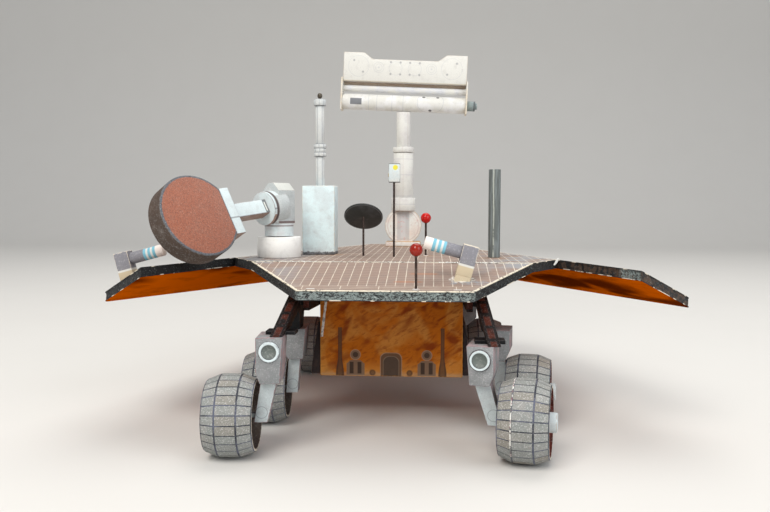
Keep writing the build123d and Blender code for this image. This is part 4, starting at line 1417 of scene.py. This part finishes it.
class ROVER_OT_head(RoverOperator, bpy.types.Operator):
    """Camera head: bar with printed lens circles, half-round bar, tube, end plates and motor"""

    bl_idname = "rover.head"
    bl_label = "Camera head"

    def execute(self, context):
        line = (0.42, 0.44, 0.48, 1)
        edge = grained("head_edge_card", hue("white"), hue("cream"), spread=(0.66, 0.6, 0.54, 1)).close()
        looks = HEAD_X.cross(HEAD_UP)
        folded("camera_bar", "camera_bar_card", [edge, bar_print(line)], [
            (1, looks, HEAD_ORIGIN, HEAD_X, HEAD_UP), (1, -looks, HEAD_ORIGIN, -HEAD_X, HEAD_UP),
            (0, None, HEAD_ORIGIN, HEAD_X, HEAD_UP),
        ], width=0.28)
        plate = grained("end_plate_card", hue("cream"), (0.5, 0.44, 0.38, 1), spread=hue("white")).close()
        folded("head_end_plates", "head_end_plate_cards", [plate], width=0.16)
        start, overlap = HEAD_ORIGIN - HEAD_X * 30.0, 0.06
        half_round = grained("half_round_card", (0.66, 0.67, 0.70, 1), spread=hue("white"), speckle=0.05)
        for node, name, place, radius, finish in (
            ("head_tube", "head_tube_roll", start, 3.9, head_tube_print(line)),
            ("head_cross_bar", "head_half_round", start + HEAD_UP * 6.5, 1.6, half_round.close()),
        ):
            profile = rounded_ends([(radius - overlap, 0.0, 60.0)], 0.1)
            rolled(node, name, place, HEAD_X, profile, [finish], seam=(overlap, 24.0))
        head_gap_strip()
        motor = grained("head_motor_print", (0.22, 0.27, 0.27, 1), speckle=0.2, rough=0.6)
        motor.lay(motor.band(motor.v, 3.1, 3.8, 0.1) * 0.8, (0.05, 0.055, 0.06, 1))
        rolled("head_motor", "head_motor_card", HEAD_ORIGIN + HEAD_X * 30.8, HEAD_X,
               rounded_ends([(2.4, 0.0, 4.0), (1.5, 4.0, 4.9)], 0.15), [motor.close()], 32)
        return {"FINISHED"}


def joint_gap_shade(card, start, end):
    """Painted shade in the gap between the round joint plates: a dark band this far from the middle of the
    gimbal block.
    """
    away = card.node("ShaderNodeVectorMath", {"operation": "DOT_PRODUCT"}, {0: card.where, 1: -TO_GIMBAL})
    along = Num(card, away.outputs["Value"]) + GIMBAL.dot(TO_GIMBAL)
    over_neck = card.step(card.xyz(card.where)[2], 71.9, 72.2)
    return card.lay(card.band(along, start, end, 0.1) * over_neck * 0.85, (0.085, 0.05, 0.045, 1))


def dish_felt():
    """The felt-like face of the dish, with a thin worn border along its round and its flat side."""
    face = Finish("dish_face_felt", hue("felt"), 0.95)
    away = face.from_point(0, 0)
    face.blotch((0.34, 0.15, 0.1, 1), 0.3, 5.0, 0.42, 0.66)
    face.blotch((0.1, 0.045, 0.035, 1), 0.5, 0.55, 0.42, 0.6, detail=4.0, rough=0.8)
    face.blotch((0.56, 0.35, 0.27, 1), 0.45, 0.42, 0.54, 0.66, detail=3.0, rough=0.8)
    ragged = (face.noise(1.1, 4.0) - 0.5) * 0.5
    border = face.most(face.step(away + ragged, 14.25, 14.5), face.step(face.u + ragged, 11.95, 12.2))
    face.lay(border, hue("dish_border"))
    face.lay(border * face.step(face.noise(0.6, 4.0), 0.54, 0.62) * 0.6, (0.025, 0.026, 0.03, 1))
    face.lay(border * face.step(face.noise(0.5, 4.0), 0.58, 0.66) * 0.35, (0.5, 0.51, 0.5, 1))
    face.rise(face.noise(0.4, 5.0, 0.85), 0.14)
    return face.close(Sheen_Weight=0.25)


def dish_arm_prints():
    """Pale card, the shaded underside, and the side with the printed slot."""
    pale = grained("dish_arm_card", hue("cool_white"), (0.42, 0.38, 0.36, 1), speckle=0.1,
                   spread=(0.56, 0.6, 0.61, 1))
    brown = grained("dish_arm_shadow_print", (0.3, 0.2, 0.16, 1), (0.12, 0.08, 0.07, 1),
                    spread=(0.4, 0.3, 0.26, 1))
    slot = grained("dish_arm_slot_print", hue("cool_white"), (0.42, 0.38, 0.36, 1), speckle=0.1)
    slot.lay(slot.band(slot.u, -10.1, -8.2) * 0.85, (0.085, 0.09, 0.1, 1))
    slot.lay(slot.square((-9.6, -9.05), (-1.9, 1.7), 0.08), hue("white"))
    slot.lay(slot.band(slot.v, -3.0, -2.45) * 0.6, (0.12, 0.11, 0.12, 1))
    return [joint_gap_shade(card, 6.2, 7.25).close() for card in (pale, brown, slot)]


def dish_turret():
    """The turning neck and block, with a pale roof and the joint disc's seat."""
    block = grained("gimbal_block_print", (0.47, 0.51, 0.51, 1), (0.3, 0.2, 0.18, 1), speckle=0.18,
                    spread=(0.55, 0.58, 0.58, 1))
    block.lay(block.band(block.v, 71.9, 73.1, 0.15) * 0.8, (0.12, 0.05, 0.04, 1))
    roof = grained("gimbal_roof_card", (0.6, 0.61, 0.57, 1), (0.5, 0.46, 0.42, 1)).close()
    joint = grained("gimbal_joint_card", hue("cool_white"), (0.2, 0.1, 0.08, 1),
                    spread=(0.6, 0.61, 0.62, 1))
    joint.lay(joint.band(joint.v, 71.0, 71.5, 0.1) * 0.7, (0.12, 0.06, 0.05, 1))
    block, joint = (joint_gap_shade(card, 5.9, 6.6).close() for card in (block, joint))
    neck_top, roof_start, block_half = 72.0, 82.5, 4.33
    mesh = clean_copy("dish_turret")
    round_folds(mesh, 0.2)
    lay_flat(mesh, [ANY_SIDE])
    for f in mesh.faces:
        middle = f.calc_center_median()
        on_boss = all(5.9 < (v.co - GIMBAL).cross(TO_GIMBAL).length < 6.9 for v in f.verts)
        if middle.z < neck_top:
            f.material_index = 2
        elif f.normal.z > 0.3 and middle.z > roof_start and not on_boss:
            f.material_index = 1
        elif (middle - GIMBAL).dot(-TO_GIMBAL) > block_half:
            f.material_index = 2
    dress("dish_turret", "dish_turret_card", mesh, [block, roof, joint])


class ROVER_OT_dish(RoverOperator, bpy.types.Operator):
    """Dish antenna: felt-faced drum, arm, gimbal block and base drum"""

    bl_idname = "rover.dish"
    bl_label = "Dish antenna"

    def execute(self, context):
        chord = ARM_UP * math.cos(DISH_ROLL) - TO_GIMBAL.cross(ARM_UP) * math.sin(DISH_ROLL)
        looks = TO_GIMBAL.cross(chord)
        centre = GIMBAL - TO_GIMBAL * DISH_REACH
        wall = grained("dish_wall_card", hue("dish_rim"), (0.16, 0.17, 0.18, 1), speckle=0.1,
                       spread=(0.075, 0.045, 0.03, 1))
        folded("dish_drum", "dish_drum_card", [wall.close(), dish_felt()], [
            (1, looks, centre, TO_GIMBAL, chord), (1, -looks, centre, TO_GIMBAL, chord),
            (0, None, centre, looks, chord),
        ], width=0.35)
        folded("dish_arm", "dish_arm_card", dish_arm_prints(), [
            (1, -chord, GIMBAL, TO_GIMBAL, looks), (2, looks, GIMBAL, TO_GIMBAL, chord),
            (0, None, GIMBAL, None, None),
        ], width=0.2)
        dish_turret()
        drum = grained("dish_base_card", (0.84, 0.83, 0.80, 1), speckle=0.04)
        drum.lay(drum.band(drum.v, -0.5, 0.3, 0.2) * 0.5, (0.3, 0.22, 0.18, 1))
        rolled("dish_base", "dish_base_drum", (GIMBAL.x, GIMBAL.y, DECK_TOP), UP,
               rounded_ends([(8.33, 0.0, 8.0)], 0.22), [drum.close()], 56, seam=(0.07, 15.0))
        return {"FINISHED"}


def low_gain_antenna():
    """The tall box with its inked foot, and the stepped tube with its pin head."""
    box = grained("low_gain_print", hue("cool_white"), (0.72, 0.70, 0.62, 1), speckle=0.08,
                  spread=(0.72, 0.86, 0.88, 1))
    height = box.xyz(box.where)[2]
    ragged = height - box.noise(1.4, 4.0) * 1.6
    box.lay(box.fall(ragged, 59.2, 59.6) * 0.92, (0.05, 0.045, 0.05, 1))
    box.lay(box.step(height, 60.0, 63.5, 0.4, 0.0) * box.patch(1.5), (0.4, 0.42, 0.45, 1))
    folded("low_gain_box", "low_gain_card", [box.close()], width=0.3)
    tube = grained("low_gain_tube_print", (0.64, 0.65, 0.63, 1), speckle=0.1,
                   spread=(0.58, 0.61, 0.61, 1))
    tube.lay(tube.lines(tube.u, 2.0, 0.3) * 0.7, (0.3, 0.32, 0.35, 1))
    for level in (12.0, 13.6, 15.3, 17.0, 32.5, 35.1):
        tube.lay(tube.band(tube.v, level - 0.18, level + 0.18, 0.1) * 0.6, (0.25, 0.26, 0.28, 1))
    bands = [(1.8, 0.0, 12.0), (2.6, 12.0, 13.6), (2.42, 13.6, 15.3), (2.6, 15.3, 17.0),
             (1.8, 17.0, 32.5), (2.5, 32.5, 35.1)]
    knob = [(35.1, 0.8), (35.35, 0.62), (35.6, 0.62), (35.85, 0.86), (36.3, 1.0), (36.8, 1.0),
            (37.2, 0.86), (37.5, 0.6), (37.7, 0.2)]
    brass = Finish("low_gain_pin_head", (0.09, 0.075, 0.055, 1), 0.3).close(Metallic=0.6)
    mesh = bmesh.new()
    box_top = LOW_GAIN + UP * 28.0
    lathe(mesh, box_top, UP, rounded_ends(bands, 0.14), 32)
    lathe(mesh, box_top, UP, knob, 24, finish=1)
    dress("low_gain_mast", "low_gain_tube", mesh, [tube.close(), brass])


def whip_antenna():
    """The plain tube, open at the top."""
    whip = Finish("whip_print", hue("whip"), 0.6)
    along = whip.stretched(0.9, 0.9, 14.0)
    whip.blotch((0.26, 0.30, 0.31, 1), 0.5, 1.0, 0.44, 0.62, where=along)
    whip.lay(whip.step(whip.noise(1.0, 4.0, where=whip.stretched(0.5, 0.5, 5.0)), 0.55, 0.68) * 0.5,
             (0.05, 0.058, 0.055, 1))
    # Painted highlight: a pale, wandering stripe down one side of the tube, where light catches it
    overlap = whip.u + (whip.noise(6.0) - 0.5) * 0.8
    whip.lay(whip.band(overlap, 2.8, 3.25, 0.1) * whip.patch(3.0, 0.3, 0.5) * 0.7, (0.5, 0.53, 0.46, 1))
    dark = grained("tube_bore", (0.02, 0.02, 0.022, 1)).close()
    mesh = bmesh.new()
    around, tall, bore_floor = 36, 34.0, 26.0
    profile = [(0.0, 2.1), (0.15, 2.28), (tall - 0.15, 2.28), (tall, 2.2),
               (tall, 1.85), (tall - 0.1, 1.8), (bore_floor, 1.8)]
    made = lathe(mesh, WHIP, UP, profile, around, seam=(0.07, 30.0))
    # Painted shade, near-black: the bore's wall but for one strip, its floor, and the hidden foot of the tube
    for f in made[-around - 1:]:
        f.material_index = 1
    dress("whip_antenna", "whip_roll", mesh, [whip.fibres().close(), dark])


class ROVER_OT_antennas(RoverOperator, bpy.types.Operator):
    """Low-gain antenna and whip antenna"""

    bl_idname = "rover.antennas"
    bl_label = "Antennas"

    def execute(self, context):
        low_gain_antenna()
        whip_antenna()
        return {"FINISHED"}


def bead_lacquers():
    """Each bead-headed pin's own red, by its node."""
    beads = {}
    for node, colour in (("deck_ball_pin", "bead"), ("panel_ball_pin", "near_bead")):
        bead = Finish(f"{colour}_lacquer", hue(colour), 0.14)
        bead.blotch((0.3, 0.03, 0.01, 1), 0.25, 1.5, 0.4, 0.7)
        bead.rise(bead.noise(1.2), 0.02)
        beads[node] = bead.close(Coat_Weight=0.2, Coat_Roughness=0.05, Specular_IOR_Level=0.3)
    return beads


def bead_pins(steel):
    """Steel pins with a collar, a round bead, and torn paper at the foot."""
    beads = bead_lacquers()
    paper = grained("pin_foot_paper", hue("white"), spread=(0.72, 0.42, 0.4, 1)).close()
    droop, ball_radius, collar, steps = math.tan(PANEL_DROOP), 2.1, 0.62, 16
    for node, name, x, y, floor, over in (
        ("deck_ball_pin", "deck_bead_pin", 12.0, 35.2, DECK_TOP, 15.0),
        ("panel_ball_pin", "panel_bead_pin", 9.8, -32.8, DECK_TOP - 32.8 * droop, 12.4),
    ):
        foot = Vector((x, FOLD_Y + y, floor + 0.45 * droop))
        mesh = bmesh.new()
        stem = [(0.0, PIN_RADIUS), (over - 2.3, PIN_RADIUS), (over - 2.0, collar), (over - 1.4, collar)]
        lathe(mesh, foot, UP, stem, 14)
        ball = []
        for i in range(steps + 1):
            angle = math.pi * i / steps
            ball.append((over - ball_radius * math.cos(angle), max(0.06, ball_radius * math.sin(angle))))
        lathe(mesh, foot, UP, ball, 28, finish=1)
        lathe(mesh, foot, UP, [(-0.02, 1.1), (0.1, 1.05), (0.16, 0.5)], 12, finish=2)
        dress(node, name, mesh, [steel, beads[node], paper])


def disc_on_pin(steel):
    """The black disc, tipped back on its pin."""
    disc = Finish("disc_card", hue("disc"), 0.5)
    disc.blotch((0.07, 0.07, 0.075, 1), 0.4, 3.0, 0.45, 0.7)
    disc.lay(disc.circle(0, 0, 7.3, 0.25) * 0.5, (0.2, 0.2, 0.21, 1))
    disc.folds((0.3, 0.29, 0.28, 1))
    tip, across = math.radians(90 - 49.0), Vector((1, 0, 0))
    normal = Vector((0, math.sin(tip), math.cos(tip)))
    seat = Vector((-12.8, FOLD_Y + 32.4, DECK_TOP + 15.4))
    mesh = bmesh.new()
    lathe(mesh, seat, normal, [(0.0, 7.45), (0.18, 7.7), (0.62, 7.7), (0.8, 7.5)], 56)
    lay_flat(mesh, [(1, None, seat, across, normal.cross(across))])
    lathe(mesh, seat + normal * 0.3, normal, [(0.0, 1.1), (0.7, 1.0), (0.9, 0.4)], 16)
    lathe(mesh, (seat.x, seat.y, DECK_TOP), UP, [(0.0, PIN_RADIUS), (15.7, PIN_RADIUS)], 14)
    dress("disc_on_pin", "disc_and_pin", mesh, [steel, disc.fibres().close()])


def sensor_on_pin(steel):
    """The small sensor box on its tall pin."""
    case = grained("sensor_card", hue("cool_white"), (0.1, 0.1, 0.1, 1), spread=(0.66, 0.66, 0.62, 1))
    case.lay(case.spot(0.55, 5.8, 0.98, 0.2), (0.74, 0.66, 0.06, 1))
    outline = case.most(case.step(case.v, 7.05, 7.2), case.fall(case.v, 0.25, 0.4))
    case.lay(outline * 0.8, (0.05, 0.045, 0.045, 1))
    nub = grained("sensor_nub", (0.5, 0.32, 0.06, 1), rough=0.4).close()
    low = Vector((-0.4, FOLD_Y + 28.4, DECK_TOP + 29.0))
    place = Matrix.Translation(low + Vector((0.15, 0, 3.7))) @ Matrix.Diagonal((4.4, 3.0, 7.4, 1))
    mesh = bmesh.new()
    bmesh.ops.create_cube(mesh, size=1.0, matrix=place)
    round_folds(mesh, 0.16)
    lay_flat(mesh, [(1, None, low, (1, 0, 0), UP)])
    nub_at = low + Vector((-2.05, 0, 2.9))
    lathe(mesh, nub_at, (-1, 0, 0), [(-0.2, 0.8), (0.1, 0.78), (0.3, 0.5)], 16, finish=2)
    lathe(mesh, (low.x, low.y, DECK_TOP), UP, [(0.0, PIN_RADIUS), (29.6, PIN_RADIUS)], 14)
    dress("sensor_on_pin", "sensor_and_pin", mesh, [steel, case.close(), nub])


class ROVER_OT_pins(RoverOperator, bpy.types.Operator):
    """Bead-headed pins, the black disc on its pin and the sensor box on its pin"""

    bl_idname = "rover.pins"
    bl_label = "Pins"

    def execute(self, context):
        steel = Finish("pin_steel", hue("steel"), 0.38)
        steel.blotch((0.16, 0.13, 0.11, 1), 0.5, 1.0, 0.45, 0.65)
        steel = steel.rise(steel.noise(0.4), 0.02).close(Metallic=0.7)
        bead_pins(steel)
        disc_on_pin(steel)
        sensor_on_pin(steel)
        return {"FINISHED"}


def post_finishes():
    """Speckled posts with a pale top, striped barrels with a pale cap, and torn paper round glued feet."""
    block = grained("post_print", hue("post"), (0.72, 0.66, 0.54, 1), speckle=0.14)
    block.lay(block.fall(block.v, 4.55, 4.65), (0.62, 0.52, 0.36, 1))
    block.lay(block.band(block.v, 4.5, 5.2, 0.1), hue("white"))
    block = block.close()
    top = grained("post_top_card", hue("cream"), (0.6, 0.5, 0.36, 1), spread=hue("white")).close()
    roll = grained("barrel_print", hue("post"), speckle=0.14)
    roll.lay(roll.step(roll.v, 5.2, 5.35), hue("stripe"))
    for along in (6.6, 8.35):
        roll.lay(roll.band(roll.v, along - 0.38, along + 0.38, 0.12) * 0.9, hue("white"))
    roll.lay(roll.step(roll.v, 9.7, 9.85), (0.84, 0.77, 0.72, 1))
    roll = roll.close()
    cap = grained("barrel_cap_card", (0.84, 0.77, 0.70, 1)).close()
    torn = grained("post_foot_paper", hue("cream"), rough=0.9, spread=hue("white")).close()
    wedge = grained("post_foot_card", (0.62, 0.52, 0.36, 1), hue("cream")).close()
    return [block, top], [roll, cap], [torn, wedge]


def post_foot(name, hand, foot, up, side, finishes):
    """The glued foot under a leaning post, in a collar of torn paper."""
    board_up, _ = top_face("rear_panel" if name == "panel" else "left_wing")
    mesh = bmesh.new()
    upper, lower = [], []
    for across, deep in ((-2.5, -2.4), (2.5, -2.4), (2.5, 2.4), (-2.5, 2.4)):
        corner = foot + up * 1.45 + side * across + Vector((0, deep, 0))
        drop = (corner - foot).dot(board_up) / up.dot(board_up) + 0.05
        upper.append(mesh.verts.new(corner))
        lower.append(mesh.verts.new(corner - up * drop))
    for i in range(4):
        mesh.faces.new((lower[i], lower[(i + 1) % 4], upper[(i + 1) % 4], upper[i]))
    mesh.faces.new(lower[::-1])
    mesh.faces.new(upper)
    foot_faces = set(mesh.faces)
    torn_round(mesh, foot, board_up, 2.9, 0.8, 4.0 * hand)
    bmesh.ops.recalc_face_normals(mesh, faces=mesh.faces)
    for f in mesh.faces:
        f.material_index = 1 if f in foot_faces else 0
    put(f"{name}_post_foot", mesh, finishes, "chassis", "grey_card")


class ROVER_OT_posts(RoverOperator, bpy.types.Operator):
    """Small leaning posts with rolled, striped barrels"""

    bl_idname = "rover.posts"
    bl_label = "Posts"

    def execute(self, context):
        posts, barrels, feet = post_finishes()
        for name, hand in (("panel", 1), ("wing", -1)):
            up = Vector((hand * math.sin(POST_LEAN), 0, math.cos(POST_LEAN)))
            side = Vector((hand * math.cos(POST_LEAN), 0, -math.sin(POST_LEAN)))
            source = clean_copy(f"{name}_post")
            middle = sum((v.co for v in source.verts), Vector()) / len(source.verts)
            source.free()
            foot = middle - up * 6.4
            folded(f"{name}_post", f"{name}_post_card", posts, [
                (1, up, foot, side, (0, 1, 0)), (0, (0, -1, 0), foot, side, up),
                (0, (0, 1, 0), foot, side, up), (0, None, foot, (0, 1, 0), up),
            ], width=0.2)
            rolled(f"{name}_post_barrel", f"{name}_barrel_roll", foot + up * 8.5 - side * 2.6, -side,
                   rounded_ends([(2.09, 0.0, 12.5)], 0.14), barrels, 32, seam=(0.06, 24.0))
            post_foot(name, hand, foot, up, side, feet)
        return {"FINISHED"}


def studio_floor():
    """A plain floor that bends up into a wall behind the rover."""
    ground = Finish("studio_floor", hue("floor"), 0.9)
    ground.blotch((0.6, 0.58, 0.55, 1), 0.06, 60.0, 0.4, 0.7)
    # In metres
    mesh = bmesh.new()
    back, bend, steps = 1.1, 0.5, 12
    profile = [(-3.0, 0.0), (back, 0.0)]
    for i in range(1, steps + 1):
        angle = math.pi / 2 * i / steps
        profile.append((back + bend * math.sin(angle), bend - bend * math.cos(angle)))
    profile.append((back + bend, 3.0))
    rows = [[mesh.verts.new((x, y, z)) for x in (-4.0, 4.0)] for y, z in profile]
    for a, b in zip(rows, rows[1:]):
        mesh.faces.new((a[0], a[1], b[1], b[0]))
    data = bpy.data.meshes.new("studio_floor")
    mesh.to_mesh(data)
    mesh.free()
    data.materials.append(ground.close())
    data.polygons.foreach_set("use_smooth", [True] * len(data.polygons))
    floor = bpy.data.objects.new("studio_floor", data)
    bpy.context.scene.collection.objects.link(floor)


def studio_light(scene):
    """Three soft lamps and pale air."""
    # name, place, size, watts, colour
    for name, place, size, power, colour in (
        ("key_light", (-0.28, -0.75, 0.85), 0.6, 8.6, (1.0, 0.96, 0.9)),
        ("fill_light", (0.75, -0.6, 0.5), 0.7, 4.0, (0.92, 0.96, 1.0)),
        ("top_light", (0.1, 0.35, 1.0), 0.8, 5.0, (1.0, 0.98, 0.95)),
    ):
        lamp = bpy.data.lights.new(name, "AREA")
        lamp.shape, lamp.size, lamp.energy, lamp.color = "SQUARE", size, power, colour
        holder = bpy.data.objects.new(name, lamp)
        holder.location = place
        holder.rotation_euler = (Vector((0, 0, 0.06)) - Vector(place)).to_track_quat("-Z", "Y").to_euler()
        scene.collection.objects.link(holder)
    world = bpy.data.worlds.new("studio_air")
    world.use_nodes = True
    air = world.node_tree.nodes["Background"]
    air.inputs["Color"].default_value = (0.9, 0.92, 0.95, 1)
    air.inputs["Strength"].default_value = 0.55
    scene.world = world


def photo_camera(scene):
    """The camera as it was solved from the photo."""
    # Place in millimetres, turns in radians, and the focal length in pixels of a photo this wide
    place, (yaw, pitch, roll) = Vector((15.6, -315.7, 79.75)), (0.0645, -0.0677, 0.0018)
    focal, photo_wide, sensor_wide = 771.0, 770.0, 36.0
    ahead = Vector((-math.sin(yaw) * math.cos(pitch), math.cos(yaw) * math.cos(pitch), math.sin(pitch)))
    level = Vector((math.cos(yaw), math.sin(yaw), 0))
    top = level.cross(ahead)
    right = level * math.cos(roll) + top * math.sin(roll)
    above = top * math.cos(roll) - level * math.sin(roll)
    lens = bpy.data.cameras.new("photo_camera")
    lens.sensor_width, lens.lens = sensor_wide, sensor_wide * focal / photo_wide
    lens.clip_start, lens.clip_end = 0.01, 20.0
    camera = bpy.data.objects.new("photo_camera", lens)
    turn = Matrix((right, above, -ahead)).transposed().to_4x4()
    camera.matrix_world = Matrix.Translation(place * MM) @ turn
    scene.collection.objects.link(camera)
    scene.camera = camera


class ROVER_OT_stage(RoverOperator, bpy.types.Operator):
    """Plain pale floor, soft studio light and the camera"""

    bl_idname = "rover.stage"
    bl_label = "Stage"

    def execute(self, context):
        scene = context.scene
        studio_floor()
        studio_light(scene)
        scene.view_settings.view_transform = "Standard"
        photo_camera(scene)
        return {"FINISHED"}


PIECE_OPERATORS = (
    ROVER_OT_deck, ROVER_OT_torn_paper, ROVER_OT_box, ROVER_OT_wheels, ROVER_OT_legs, ROVER_OT_suspension,
    ROVER_OT_mast, ROVER_OT_head, ROVER_OT_dish, ROVER_OT_antennas, ROVER_OT_pins, ROVER_OT_posts,
    ROVER_OT_stage,
)


class ROVER_PT_pieces(bpy.types.Panel):
    """Lists the pieces of the rover"""

    bl_idname = "ROVER_PT_pieces"
    bl_label = "Card rover"
    bl_space_type = "VIEW_3D"
    bl_region_type = "UI"
    bl_category = "Rover"

    def draw(self, context):
        for operator in PIECE_OPERATORS:
            self.layout.operator(operator.bl_idname)
        for group in (context.scene.rover_sizes, context.scene.rover_colours):
            for name in group.__annotations__:
                self.layout.prop(group, name)


CLASSES = (RoverSizes, RoverColours, *PIECE_OPERATORS, ROVER_PT_pieces)


def register():
    for cls in CLASSES:
        bpy.utils.register_class(cls)
    bpy.types.Scene.rover_sizes = PointerProperty(type=RoverSizes)
    bpy.types.Scene.rover_colours = PointerProperty(type=RoverColours)


def unregister():
    del bpy.types.Scene.rover_colours
    del bpy.types.Scene.rover_sizes
    for cls in reversed(CLASSES):
        bpy.utils.unregister_class(cls)


def main():
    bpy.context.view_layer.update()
    register()
    TREES["wheel"] = wheel_skin_tree()
    TREES["flakes"] = flake_tree()
    for operator in PIECE_OPERATORS:
        group, name = operator.bl_idname.split(".")
        getattr(getattr(bpy.ops, group), name)()


if __name__ == "__main__":
    main()
